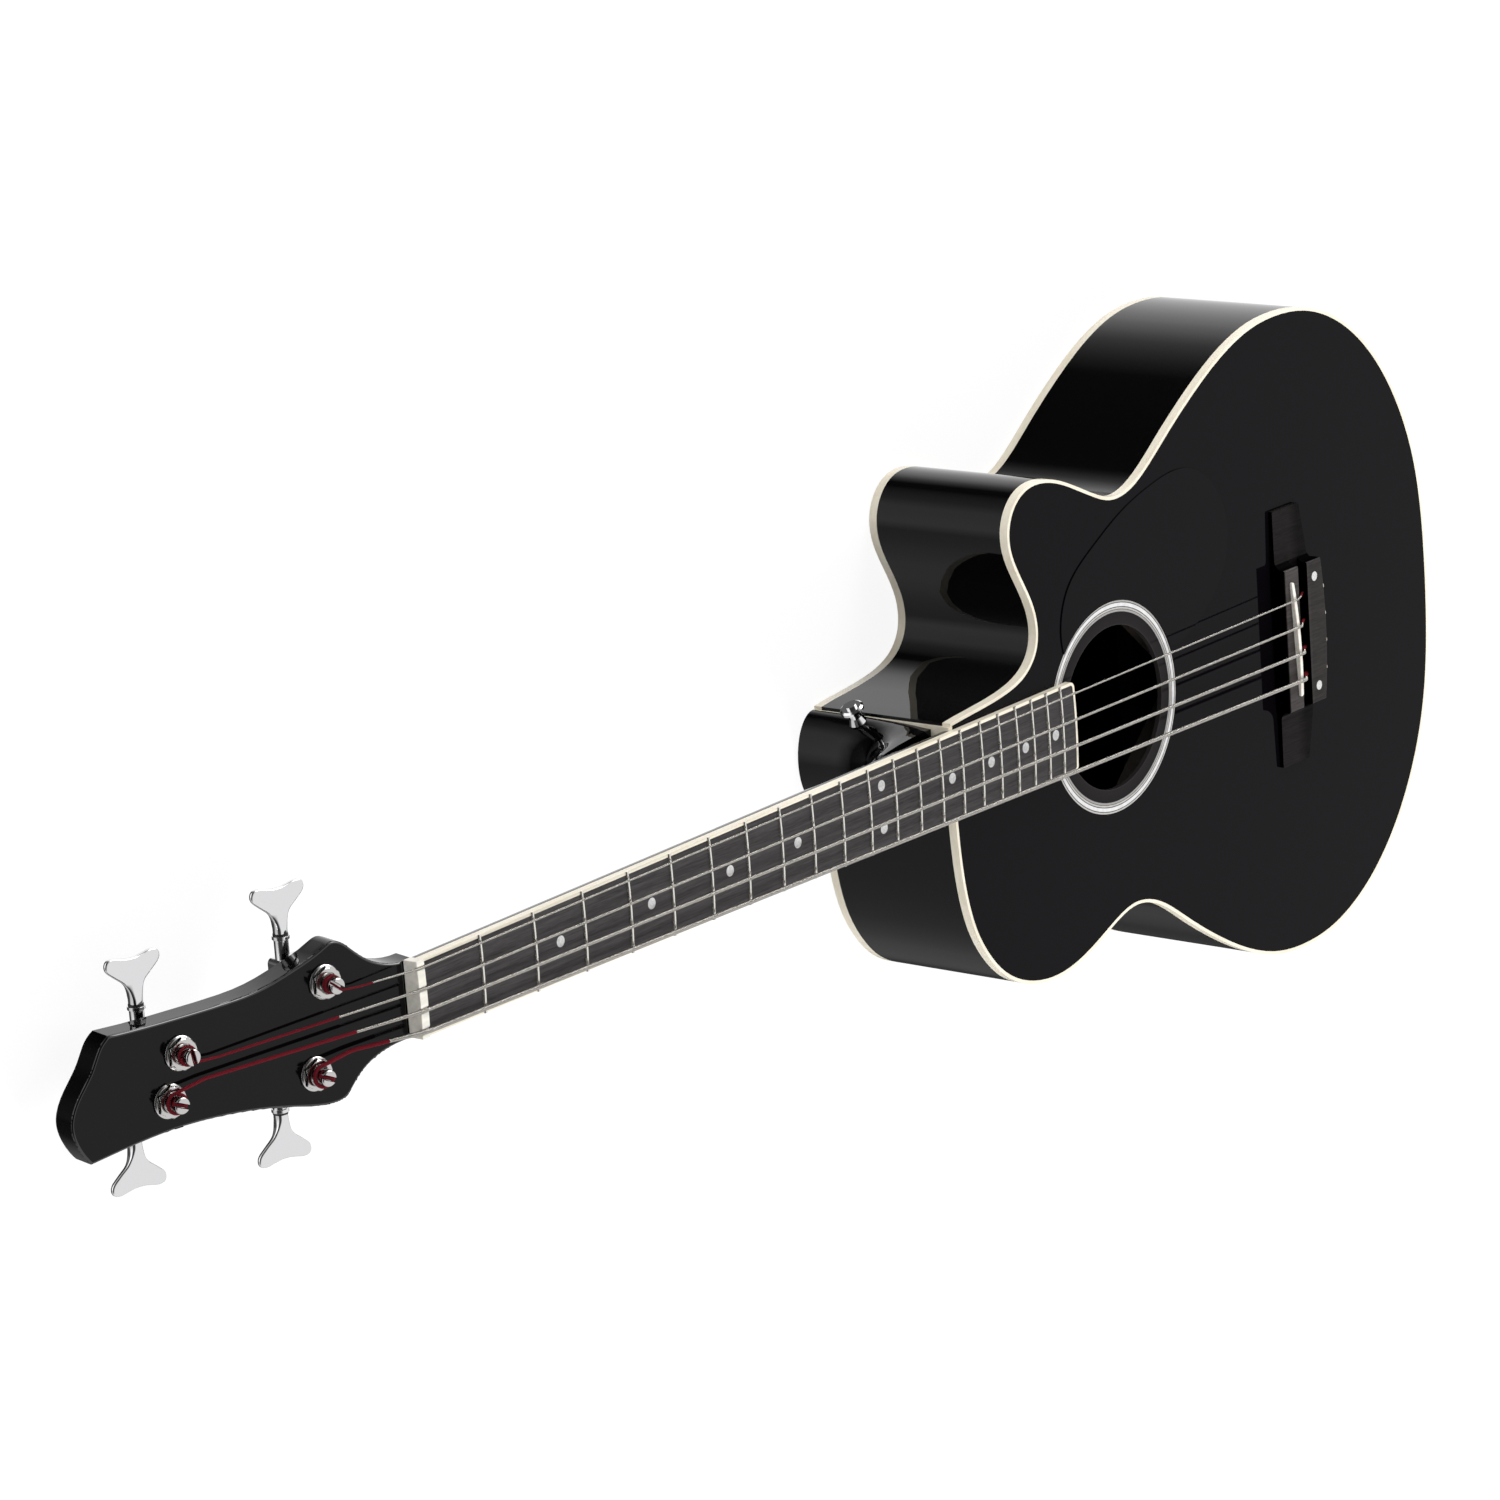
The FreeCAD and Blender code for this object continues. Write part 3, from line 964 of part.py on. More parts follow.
def make_housing():
    """Cast housing with its tube, open below for wheel and worm, and the cover that closes it."""
    top = -HEAD_THICKNESS
    lug_x = -HOUSING_RADIUS - LUG_REACH
    side_box = box((0, -HOUSING_RADIUS * HOUSING_BOX_SHARE, HOUSING_LOW),
                   (WORM_OFFSET + TUBE_RADIUS + HOUSING_WALL, HOUSING_RADIUS, top))
    corners = upright_edges(side_box, lambda middle: middle.x > WORM_OFFSET)
    shell = joined([
        on_post(HOUSING_RADIUS, HOUSING_LOW, top),
        side_box.makeFillet(HOUSING_CORNER_RADIUS, corners),
        on_post(MACHINE_SCREW_HEAD_RADIUS + LUG_RIM, top - LUG_THICKNESS, top, lug_x),
        on_shaft(TUBE_RADIUS, HOUSING_RADIUS - TUBE_ROOT_LAP, TUBE_END),
        on_shaft(COLLAR_RADIUS, TUBE_END - COLLAR_LENGTH, TUBE_END),
    ])
    worm_half = WORM_LENGTH / 2
    worm_end = worm_half + WORM_END_GAP
    worm_room = WORM_PITCH_RADIUS + TIP_RISE + WORM_SIDE_GAP
    gear_room = PITCH_RADIUS + TIP_RISE + GEAR_SIDE_GAP
    cavity_top = SHAFT_Z + GEAR_WIDTH / 2 + WORM_SIDE_GAP
    pivot_end = worm_half + HOUSING_WALL + SHAFT_PIVOT_EXTRA + HOUSING_STEP_GAP
    hollow = [
        on_post(POST_RADIUS + FIT_GAP, top - POST_SHOULDER_DEPTH - HOUSING_STEP_GAP, top + OVERRUN),
        on_post(POST_NECK_RADIUS + FIT_GAP, cavity_top - OVERRUN, top),
        on_post(gear_room, HOUSING_LOW - OVERRUN, cavity_top),
        on_shaft(worm_room, -worm_end, worm_end),
        box((WORM_OFFSET - worm_room, -worm_end, HOUSING_LOW - OVERRUN),
            (WORM_OFFSET + worm_room, worm_end, SHAFT_Z)),
        on_shaft(SHAFT_RADIUS + FIT_GAP, 0, TUBE_END + OVERRUN),
        on_shaft(SHAFT_PIVOT_RADIUS + FIT_GAP, -pivot_end, 0),
        on_post(MACHINE_SCREW_RADIUS + FIT_GAP, top - LUG_THICKNESS - OVERRUN, top + OVERRUN, lug_x),
    ]
    cover_seat = HOUSING_LOW + COVER_THICKNESS
    cover_half = worm_end + COVER_LAP
    cover = joined([
        on_post(gear_room + COVER_LAP, HOUSING_LOW, cover_seat),
        box((0, -cover_half, HOUSING_LOW), (WORM_OFFSET + worm_room + COVER_LAP, cover_half, cover_seat)),
    ])
    return shell.cut(Part.makeCompound(hollow)).cut(cover), cover


def make_tuners():
    """Housings with worm and wheel, bushings, washers, keys and posts of the four machines."""
    top = -HEAD_THICKNESS
    worm_half = WORM_LENGTH / 2
    pivot_end = worm_half + HOUSING_WALL + SHAFT_PIVOT_EXTRA
    key, post, gear = make_key(), make_post(), make_gear()
    worm = joined([make_worm(), on_shaft(SHAFT_PIVOT_RADIUS, -pivot_end, -worm_half)])
    housing, cover = make_housing()
    bushing = joined([on_post(BUSHING_RADIUS, top + FIT_GAP, WASHER_THICKNESS),
                      hexagon(BUSHING_HEX_WIDTH, WASHER_THICKNESS, WASHER_THICKNESS + BUSHING_HEX_HEIGHT)])
    lug_x, lug_low = -HOUSING_RADIUS - LUG_REACH, top - LUG_THICKNESS
    shared_shapes = {
        "tuner_housings": housing,
        "tuner_covers": cover,
        "tuner_bushings": bushing.cut(on_post(POST_RADIUS + FIT_GAP, top, POST_HEIGHT)),
        "tuner_washers": tube(WASHER_RADIUS, BUSHING_RADIUS + FIT_GAP, (0, 0, 0), (0, 0, WASHER_THICKNESS)),
        "tuner_screws": joined([
            on_post(MACHINE_SCREW_RADIUS, lug_low, lug_low + MACHINE_SCREW_LENGTH, lug_x),
            on_post(MACHINE_SCREW_HEAD_RADIUS, lug_low - MACHINE_SCREW_HEAD_HEIGHT, lug_low, lug_x)]),
        "tuner_rings": tube(KEY_RING_RADIUS, SHAFT_RADIUS + FIT_GAP, (WORM_OFFSET, TUBE_END, SHAFT_Z),
                            (WORM_OFFSET, TUBE_END + KEY_RING_LENGTH, SHAFT_Z)),
    }
    shared = {name: [] for name in shared_shapes}

    for name, (side, x_share, y_share, turn) in TUNER_SHARES.items():
        centre = Placement(Vector(x_share * HEAD_LENGTH, -y_share * HEAD_WIDTH / 2, 0), Rotation())

        def placed(shape):
            """A piece of this machine, mirrored for the thin-string side and set on the head."""
            mirrored = shape.mirror(ORIGIN, ALONG_Y) if side > 0 else shape
            return mirrored.transformed(centre.toMatrix(), copy=True).transformed(HEAD_TURN, copy=True)

        turned = key.rotated(Vector(WORM_OFFSET, 0, SHAFT_Z), ALONG_Y, -turn) if turn else key
        save(f"post_{name}", placed(post))
        save(f"gear_{name}", placed(gear))
        save(f"worm_{name}", placed(worm))
        save(f"key_{name}", placed(turned))
        for node, shape in shared_shapes.items():
            shared[node].append(placed(shape))
    for node, shapes in shared.items():
        save(node, Part.makeCompound(shapes))


# Strings

def biarc(p0, t0, p1, t1):
    """Two circular arcs from one point and direction to another, meeting smoothly in the middle."""
    chord = p1 - p0
    total = t0 + t1
    along = chord.dot(total)
    spread = 2 * (1 - t0.dot(t1))
    reach = (-along + math.sqrt(along ** 2 + spread * chord.dot(chord))) / spread
    q0, q1 = p0 + t0 * reach, p1 - t1 * reach
    middle = (q0 + q1) * 0.5
    return [tangent_arc(p0, t0, middle), tangent_arc(middle, (q1 - q0).normalize(), p1)]


def tangent_arc(start, direction, end):
    """Arc that leaves a point in a direction and reaches another point."""
    chord = end - start
    side = chord - direction * chord.dot(direction)
    radius = chord.dot(chord) / (2 * side.Length)
    normal = side.normalize()
    centre = start + normal * radius
    mid_direction = (start + chord * 0.5 - centre).normalize()
    return Part.Arc(start, centre + mid_direction * radius, end).toShape()


def rounded_path(points, radii):
    """Straight runs through points, with tangent arcs of given radii at the inner ones."""
    edges = []
    last = points[0]
    for before, corner, after, radius in zip(points, points[1:], points[2:], radii):
        into, out = (corner - before).normalize(), (after - corner).normalize()
        half_turn = into.getAngle(out) / 2
        reach = radius * math.tan(half_turn)
        start, end = corner - into * reach, corner + out * reach
        edges += [Part.makeLine(last, start), tangent_arc(start, into, end)]
        last = end
    return edges + [Part.makeLine(last, points[-1])]


def over_edge(x, z, y, radius, lean):
    """Corner of a string's route that keeps the string clear of an edge it bends over."""
    away = (radius + STRING_SEAT_GAP) / math.cos(math.radians(lean) / 2)
    return Vector(x + away * math.sin(math.radians(lean)), y, z + away * math.cos(math.radians(lean)))


def make_strings():
    """Each string as one tube from its ball end over saddle and nut and round its post."""
    bridge_y = string_places(STRING_SPREAD_AT_SADDLE)
    nut_y = string_places(STRING_SPREAD_AT_NUT)
    for name, (diameter, turns) in STRINGS.items():
        radius = diameter / 2
        side, x_share, y_share, _ = TUNER_SHARES[name[-1]]
        centre = HEAD_ORIGIN + TO_TIP * (x_share * HEAD_LENGTH) + Vector(0, y_share * HEAD_WIDTH / 2, 0)
        coil_radius = POST_WAIST_RADIUS + STRING_CLEARANCE + radius
        pitch = diameter + TURN_GAP
        entry = POST_WAIST_BOTTOM + STRING_CLEARANCE + radius
        nut_point = Vector(X_NUT - NUT_LENGTH / 2, nut_y[name], nut_string_height(name))
        # In the face's plane: U to the tail, V to the thin-string side, W up.
        u_axis, v_axis = TO_TIP * -1, Vector(0, 1, 0)
        away = nut_point - centre
        u, v = away.dot(u_axis), away.dot(v_axis)
        distance = math.hypot(u, v)
        # The string meets the post on its inner side: the tangent point of the circle.
        bearing = math.atan2(v, u)
        touch = bearing - side * math.acos(coil_radius / distance)
        rise = pitch / (2 * math.pi * coil_radius)

        def coil_point(turned):
            """Point of the winding after a turn in radians."""
            angle = touch - side * turned
            height = entry + pitch * turned / (2 * math.pi)
            flat = u_axis * math.cos(angle) + v_axis * math.sin(angle)
            return centre + flat * coil_radius + FACE_NORMAL * height

        def coil_direction(turned):
            """Direction of the winding after a turn in radians."""
            angle = touch - side * turned
            flat = (u_axis * math.sin(angle) - v_axis * math.cos(angle)) * side
            return (flat + FACE_NORMAL * rise).normalize()

        start = coil_point(0)
        lead_in = start - coil_direction(0) * (STRING_ENTRY_SHARE * coil_radius)
        y = bridge_y[name]
        anchor = Vector(bridge_rear_x(y) + BALL_PROUD - BALL_LENGTH, y, ANCHOR_HEIGHT)
        bend = Vector(GROOVE_REAR - diameter * STRING_HOLE_RUN_SHARE, y, ANCHOR_HEIGHT)
        over_ridge = over_edge(BRIDGE_RIDGE_REAR, BRIDGE_HEIGHT, y, radius, RIDGE_LEAN)
        saddle_rear = saddle_x(y) + SADDLE_WIDTH / 2
        over_saddle = over_edge(saddle_rear, SADDLE_CROWN - crown_drop(y), y, radius, SADDLE_LEAN)
        points = [anchor, bend, over_ridge, over_saddle, nut_point, lead_in, start]
        edges = rounded_path(points, [diameter * share for share in STRING_BEND_SHARES])
        steps = round(turns * 4)
        for k in range(steps):
            a, b = k * math.pi / 2, (k + 1) * math.pi / 2
            edges += biarc(coil_point(a), coil_direction(a), coil_point(b), coil_direction(b))
        finish = coil_point(steps * math.pi / 2)
        edges.append(Part.makeLine(finish, finish + coil_direction(steps * math.pi / 2) * diameter))
        path = Part.Wire(edges)
        circle = Part.Wire(Part.makeCircle(radius, anchor, (bend - anchor).normalize()))
        wire = path.makePipeShell([circle], True, False)
        expected = math.pi * radius ** 2 * path.Length
        share = wire.Volume / expected
        print(f"{name}: {steps / 4} turns, gap between turns {pitch - diameter:.2f} mm")
        print(f"{name}: length {path.Length:.1f} mm, volume over section times length {share:.4f}")
        save(name, wire)


if __name__ == "__main__":
    os.makedirs("parts", exist_ok=True)
    make_body()
    make_bridge()
    make_fretboard()
    heel = make_heel()
    make_neck(heel)
    make_nut()
    make_pickguard()
    make_strap_buttons(heel)
    make_tuners()
    make_strings()
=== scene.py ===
import json
import logging
import math
from dataclasses import dataclass, field
from enum import Enum
from typing import Any, Callable, Sequence

import bmesh
import bpy
import numpy as np
from mathutils import Matrix, Vector


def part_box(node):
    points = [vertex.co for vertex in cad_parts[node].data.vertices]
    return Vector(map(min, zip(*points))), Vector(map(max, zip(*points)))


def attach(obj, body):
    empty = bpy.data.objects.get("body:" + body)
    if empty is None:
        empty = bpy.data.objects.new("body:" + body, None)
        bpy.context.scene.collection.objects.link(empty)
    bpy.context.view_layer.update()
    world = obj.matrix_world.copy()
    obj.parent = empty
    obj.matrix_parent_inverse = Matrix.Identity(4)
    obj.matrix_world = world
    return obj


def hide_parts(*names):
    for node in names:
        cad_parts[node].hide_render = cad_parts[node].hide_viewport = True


# Acoustic bass guitar with a rounded cutaway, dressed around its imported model.
# The row frame is in metres: +X from nut to tail, +Y to the thin-string side, +Z up from the
# level back.

LOG = logging.getLogger("bass_guitar")
MM = 0.001
MICRON = 0.000001
WELD = 2 * MICRON
TURN = 2 * math.pi
FLAT_DEGREES = 0.6
GRID_CREASE_DEGREES = 32.0
PACKED_CREASE_DEGREES = 35.0

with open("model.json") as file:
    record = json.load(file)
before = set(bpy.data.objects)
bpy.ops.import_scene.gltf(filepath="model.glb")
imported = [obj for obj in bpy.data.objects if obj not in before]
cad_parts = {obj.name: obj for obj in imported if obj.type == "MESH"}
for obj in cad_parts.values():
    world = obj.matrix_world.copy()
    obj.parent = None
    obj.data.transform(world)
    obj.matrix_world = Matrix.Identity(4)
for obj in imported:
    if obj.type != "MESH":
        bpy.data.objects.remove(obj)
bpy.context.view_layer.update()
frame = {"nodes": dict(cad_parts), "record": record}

Colour = tuple[float, float, float]
Socket = bpy.types.NodeSocket
Material = bpy.types.Material


class Graph:
    """Node graph of one material, with short calls for what the finishes need."""

    def __init__(self, name: str) -> None:
        """Starts a material with one Principled shader.

        Args:
            name: name of the new material.
        """
        self.material = bpy.data.materials.new(name)
        self.material.use_nodes = True
        self.tree = self.material.node_tree
        self.shader = self.tree.nodes["Principled BSDF"]

    def add(self, kind: str, settings: dict[str, Any] | None = None,
            **inputs: Any) -> bpy.types.Node:
        """Adds one node.

        Args:
            kind: node type without its ShaderNode prefix.
            settings: properties of the node.
            **inputs: sockets by name with spaces as underscores, or by number as i0, i1; each
                takes a socket or a value.

        Returns:
            The new node.
        """
        node = self.tree.nodes.new("ShaderNode" + kind)
        for key, value in (settings or {}).items():
            setattr(node, key, value)
        for key, value in inputs.items():
            number = key[1:] if key[0] == "i" and key[1:].isdigit() else None
            self.feed(node.inputs[int(number) if number else key.replace("_", " ")], value)
        return node

    def feed(self, socket: Socket, value: Any) -> None:
        """Links a socket to another, or sets its value.

        Args:
            socket: the input that is fed.
            value: an output socket, a number, a vector or a colour.
        """
        if isinstance(value, Socket):
            self.tree.links.new(value, socket)
        elif isinstance(value, tuple) and len(value) == 3 and socket.type == "RGBA":
            socket.default_value = (*value, 1.0)
        else:
            socket.default_value = value

    def principled(self, **inputs: Any) -> None:
        """Sets or links sockets of the Principled shader by name."""
        for key, value in inputs.items():
            self.feed(self.shader.inputs[key.replace("_", " ")], value)

    def place(self, stretch: Colour = (1.0, 1.0, 1.0)) -> Socket:
        """Object coordinates, scaled along each axis."""
        source = self.add("TexCoord").outputs["Object"]
        return self.add("Mapping", None, Vector=source, Scale=stretch).outputs[0]

    def noise(self, where: Socket, scale: float, detail: float = 3.0,
              roughness: float = 0.5) -> Socket:
        """Grey noise, from 0 to 1, at a scale in cycles per metre."""
        return self.add("TexNoise", None, Vector=where, Scale=scale, Detail=detail,
                        Roughness=roughness).outputs["Fac"]

    def math(self, operation: str, a: Any, b: Any = 0.0) -> Socket:
        """One operation on two numbers or sockets."""
        return self.add("Math", {"operation": operation}, i0=a, i1=b).outputs[0]

    def vector(self, operation: str, a: Any, b: Any) -> bpy.types.bpy_prop_collection:
        """Outputs of one operation on two vectors."""
        return self.add("VectorMath", {"operation": operation}, i0=a, i1=b).outputs

    def mix(self, share: Any, low: Any, high: Any) -> Socket:
        """One number or another, by a share."""
        return self.add("Mix", {"data_type": "FLOAT"}, i0=share, i2=low, i3=high).outputs[0]

    def ramp(self, fac: Socket, stops: Sequence[tuple[float, Colour]],
             interpolation: str = "LINEAR") -> Socket:
        """Colour that changes with a number.

        Args:
            fac: the number, from 0 to 1.
            stops: places and their colours.
            interpolation: how colours run between stops.

        Returns:
            The colour socket.
        """
        node = self.add("ValToRGB", None, Fac=fac)
        band = node.color_ramp
        band.interpolation = interpolation
        while len(band.elements) < len(stops):
            band.elements.new(0.5)
        for element, (position, colour) in zip(band.elements, stops):
            element.position = position
            element.color = (*colour, 1.0)
        return node.outputs["Color"]

    def spread(self, fac: Any, low: float, high: float, out_low: float,
               out_high: float) -> Socket:
        """A number carried from one range to another, held at the ends."""
        return self.add("MapRange", {"clamp": True}, Value=fac, From_Min=low, From_Max=high,
                        To_Min=out_low, To_Max=out_high).outputs[0]

    def bump(self, height: Socket, depth: float) -> None:
        """Bump of the shader's surface from a height, with its depth in metres."""
        node = self.add("Bump", None, Height=height, Distance=depth, Strength=1.0)
        self.feed(self.shader.inputs["Normal"], node.outputs["Normal"])


class RoomGraph(Graph):
    """Node graph of the world, with the same short calls."""

    def __init__(self, name: str) -> None:
        """Starts the scene's world with one Background shader.

        Args:
            name: name of the new world.
        """
        world = bpy.data.worlds.new(name)
        world.use_nodes = True
        bpy.context.scene.world = world
        self.tree = world.node_tree
        self.shader = self.tree.nodes["Background"]


def grey(value: float) -> Colour:
    """A neutral colour."""
    return (value, value, value)


@dataclass(frozen=True)
class Lay:
    """The soundboard's own frame, with Z zero on its face, laid so that the back lies level."""

    depth_under_saddle: float = 109.5 * MM
    depth_at_neck: float = 100.5 * MM
    neck_to_saddle: float = 344.8 * MM

    def level(self, points: np.ndarray) -> np.ndarray:
        """Lifts points by the depth under the saddle and turns them about Y by the back's slope.

        Args:
            points: places in the soundboard's frame, along the last axis.

        Returns:
            The same places in the row frame.
        """
        slope = math.atan((self.depth_under_saddle - self.depth_at_neck) / self.neck_to_saddle)
        x, y, z = points[..., 0], points[..., 1], points[..., 2] + self.depth_under_saddle
        return np.stack([x * math.cos(slope) - z * math.sin(slope), y,
                         x * math.sin(slope) + z * math.cos(slope)], -1)


@dataclass(frozen=True)
class Machine:
    """Where one tuning machine sits on the tilted head, and how far its slot is turned at rest."""

    name: str
    side: int
    x_share: float
    y_share: float
    slot_turn: float
    scale_length: float = 812.8 * MM
    nut_length: float = 6.0 * MM
    head_drop: float = 3.0 * MM
    head_length: float = 209.0 * MM
    head_width: float = 88.0 * MM
    head_tilt: float = math.radians(12.0)

    @property
    def to_tip(self) -> np.ndarray:
        """Direction along the head, away from the nut."""
        return np.array([-math.cos(self.head_tilt), 0.0, -math.sin(self.head_tilt)])

    @property
    def normal(self) -> np.ndarray:
        """Direction out of the head's face."""
        return np.array([-math.sin(self.head_tilt), 0.0, math.cos(self.head_tilt)])

    @property
    def centre(self) -> np.ndarray:
        """Foot of the post's axis on the head's face, in the soundboard's frame.

        Returns:
            The place.
        """
        origin = np.array([-self.scale_length - self.nut_length, 0.0, -self.head_drop])
        across = np.array([0.0, self.y_share * self.head_width / 2, 0.0])
        return origin + self.to_tip * self.x_share * self.head_length + across

    def place(self, points: np.ndarray) -> np.ndarray:
        """Carries points from the machine's own frame to the row frame.

        Args:
            points: X towards the tip, Y outwards to the key, Z out of the face.

        Returns:
            The places in the row frame.
        """
        x, y, z = points[..., 0:1], points[..., 1:2], points[..., 2:3]
        outwards = np.array([0.0, self.side, 0.0])
        return Lay().level(self.centre + x * self.to_tip + y * outwards + z * self.normal)


MACHINES = {
    "g": Machine("g", 1, 0.240, 0.500, math.radians(-53.0)),
    "d": Machine("d", 1, 0.676, 0.162, math.radians(-10.0)),
    "e": Machine("e", -1, 0.290, -0.575, math.radians(65.0)),
    "a": Machine("a", -1, 0.720, -0.366, math.radians(67.0)),
}


def grid_quads(rows: int, columns: int, start: int = 0) -> np.ndarray:
    """Quads between neighbouring rows and columns of a grid that is numbered row by row.

    Args:
        rows: number of rows of points.
        columns: number of points in a row.
        start: number of the grid's first point.

    Returns:
        Four point numbers per quad.
    """
    r, c = np.meshgrid(np.arange(rows - 1), np.arange(columns - 1), indexing="ij")
    corner = start + r * columns + c
    quads = np.stack([corner, corner + 1, corner + columns + 1, corner + columns], -1)
    return quads.reshape(-1, 4)


def seated(name: str, mesh: bpy.types.Mesh, material: Material, body: str,
           crease: float) -> bpy.types.Object:
    """Smooths a mesh, gives it its finish and puts it on its body.

    Args:
        name: the piece's name.
        mesh: its mesh.
        material: its finish.
        body: the body that carries it.
        crease: angle in degrees past which an edge stays sharp.

    Returns:
        The piece.
    """
    mesh.polygons.foreach_set("use_smooth", np.ones(len(mesh.polygons), dtype=bool))
    mesh.set_sharp_from_angle(angle=math.radians(crease))
    mesh.materials.append(material)
    piece = bpy.data.objects.new(name, mesh)
    bpy.context.scene.collection.objects.link(piece)
    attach(piece, body)
    return piece


def make_piece(name: str, grids: Sequence[np.ndarray], material: Material, body: str,
               length_map: Sequence[np.ndarray] | None = None) -> bpy.types.Object:
    """Joins grids of points into one closed mesh and puts it on its body.

    Points that fall together are merged, so a grid closes where its edges meet and at its poles.

    Args:
        name: the piece's name.
        grids: arrays of rows by columns by three.
        material: its finish.
        body: the body that carries it.
        length_map: for each grid, the length along it at each point; the way round it is the
            share of the columns.

    Returns:
        The piece.
    """
    quads, start = [], 0
    for grid in grids:
        quads.append(grid_quads(grid.shape[0], grid.shape[1], start))
        start += grid.shape[0] * grid.shape[1]
    points = np.concatenate([grid.reshape(-1, 3) for grid in grids])
    mesh = bpy.data.meshes.new(name)
    mesh.from_pydata(points.tolist(), [], np.concatenate(quads).tolist())
    if length_map is not None:
        around = [np.broadcast_to(np.linspace(0.0, 1.0, grid.shape[1]), grid.shape[:2])
                  for grid in grids]
        pairs = np.concatenate([np.stack([u, v], -1).reshape(-1, 2)
                                for u, v in zip(length_map, around)])
        loops = np.empty(len(mesh.loops), dtype=np.int32)
        mesh.loops.foreach_get("vertex_index", loops)
        layer = mesh.uv_layers.new(name="UVMap")
        layer.data.foreach_set("uv", pairs[loops].astype(np.float32).ravel())
    form = bmesh.new()
    form.from_mesh(mesh)
    bmesh.ops.remove_doubles(form, verts=form.verts, dist=WELD)
    bmesh.ops.recalc_face_normals(form, faces=form.faces)
    form.to_mesh(mesh)
    form.free()
    LOG.info("%s: %d faces on %s", name, len(mesh.polygons), body)
    return seated(name, mesh, material, body, GRID_CREASE_DEGREES)


def eased(profile: Sequence[tuple[float, float]], reach: float) -> np.ndarray:
    """Profile whose inner corners are rounded by parabolas that start and end near the corner.

    A point of the rounding is (1-t)^2 * before + 2t(1-t) * corner + t^2 * after.

    Args:
        profile: radius and height of each corner.
        reach: distance of their ends from the corner, cut to 0.4 of its shorter run.

    Returns:
        The rounded profile.
    """
    corners = np.array(profile, dtype=float)
    share = np.linspace(0.0, 1.0, 5)[:, None]
    parts = [corners[:1]]
    for before, corner, after in zip(corners, corners[1:], corners[2:]):
        into, out = corner - before, after - corner
        cut = min(reach, 0.4 * np.linalg.norm(into), 0.4 * np.linalg.norm(out))
        first = corner - into / np.linalg.norm(into) * cut
        last = corner + out / np.linalg.norm(out) * cut
        parts.append((1 - share) ** 2 * first + 2 * share * (1 - share) * corner
                     + share ** 2 * last)
    return np.concatenate(parts + [corners[-1:]])


def turned(profile: np.ndarray, sides: int = 48) -> np.ndarray:
    """Surface of revolution about Z: x = r cos a, y = r sin a, z = h, for radius r and height h.

    Args:
        profile: radius and height per row.
        sides: facets round the axis.

    Returns:
        A grid of rows by sides and one, its last column on its first.
    """
    angle = np.linspace(0.0, TURN, sides + 1)
    radius, height = profile[:, 0:1], profile[:, 1:2]
    return np.stack([radius * np.cos(angle), radius * np.sin(angle), height + 0 * angle], -1)


def smooth_line(points: np.ndarray, steps: int) -> np.ndarray:
    """Curve through points; its slope at each is half the step between that point's neighbours.

    Between two points it is the cubic that has those slopes.

    Args:
        points: the points, one per row.
        steps: pieces of curve between two points.

    Returns:
        The curve's points.
    """
    first, last = 2 * points[:1] - points[1:2], 2 * points[-1:] - points[-2:-1]
    padded = np.concatenate([first, points, last])
    t = np.linspace(0.0, 1.0, steps, endpoint=False)[None, :, None]
    a, b, c, d = (padded[k:len(padded) - 3 + k, None, :] for k in range(4))
    curve = 0.5 * (2 * b + (c - a) * t + (2 * a - 5 * b + 4 * c - d) * t ** 2
                   + (3 * b - a - 3 * c + d) * t ** 3)
    return np.concatenate([curve.reshape(-1, points.shape[1]), points[-1:]])


def tube(path: np.ndarray, radius: np.ndarray | float,
         sides: int = 16) -> tuple[np.ndarray, np.ndarray]:
    """Round tube along a path, closed by poles at both ends.

    At each point the section's axes are square to the path: one is the path's direction crossed
    with Z.

    Args:
        path: points along the middle.
        radius: radius at each point, or one for all.
        sides: facets round it.

    Returns:
        The grid, and the length along the path at each of its points.
    """
    ahead = np.gradient(path, axis=0)
    ahead /= np.linalg.norm(ahead, axis=1, keepdims=True)
    across = np.cross(ahead, [0.0, 0.0, 1.0])
    across /= np.linalg.norm(across, axis=1, keepdims=True)
    over = np.cross(across, ahead)
    angle = np.linspace(0.0, TURN, sides + 1)[None, :, None]
    reach = np.broadcast_to(radius, len(path))[:, None, None]
    rings = path[:, None] + reach * (np.cos(angle) * across[:, None]
                                     + np.sin(angle) * over[:, None])
    ends = [np.broadcast_to(path[k], (1, sides + 1, 3)) for k in (0, -1)]
    travelled = lengths_along(path)
    travelled = np.concatenate([travelled[:1], travelled, travelled[-1:]])
    return (np.concatenate([ends[0], rings, ends[1]]),
            np.repeat(travelled[:, None], sides + 1, 1))


def lengths_along(path: np.ndarray) -> np.ndarray:
    """Length travelled at each point of a path."""
    return np.concatenate([[0.0], np.cumsum(np.linalg.norm(np.diff(path, axis=0), axis=1))])


def stretch_of(path: np.ndarray, start: float, stop: float) -> np.ndarray:
    """Part of a path between two lengths along it.

    Args:
        path: points along it.
        start: length where the part starts.
        stop: length where it stops.

    Returns:
        The part's points, its two ends worked out between their neighbours.
    """
    travelled = lengths_along(path)
    inside = travelled[(travelled > start) & (travelled < stop)]
    wanted = np.concatenate([[start], inside, [stop]])
    return np.stack([np.interp(wanted, travelled, path[:, k]) for k in range(3)], -1)


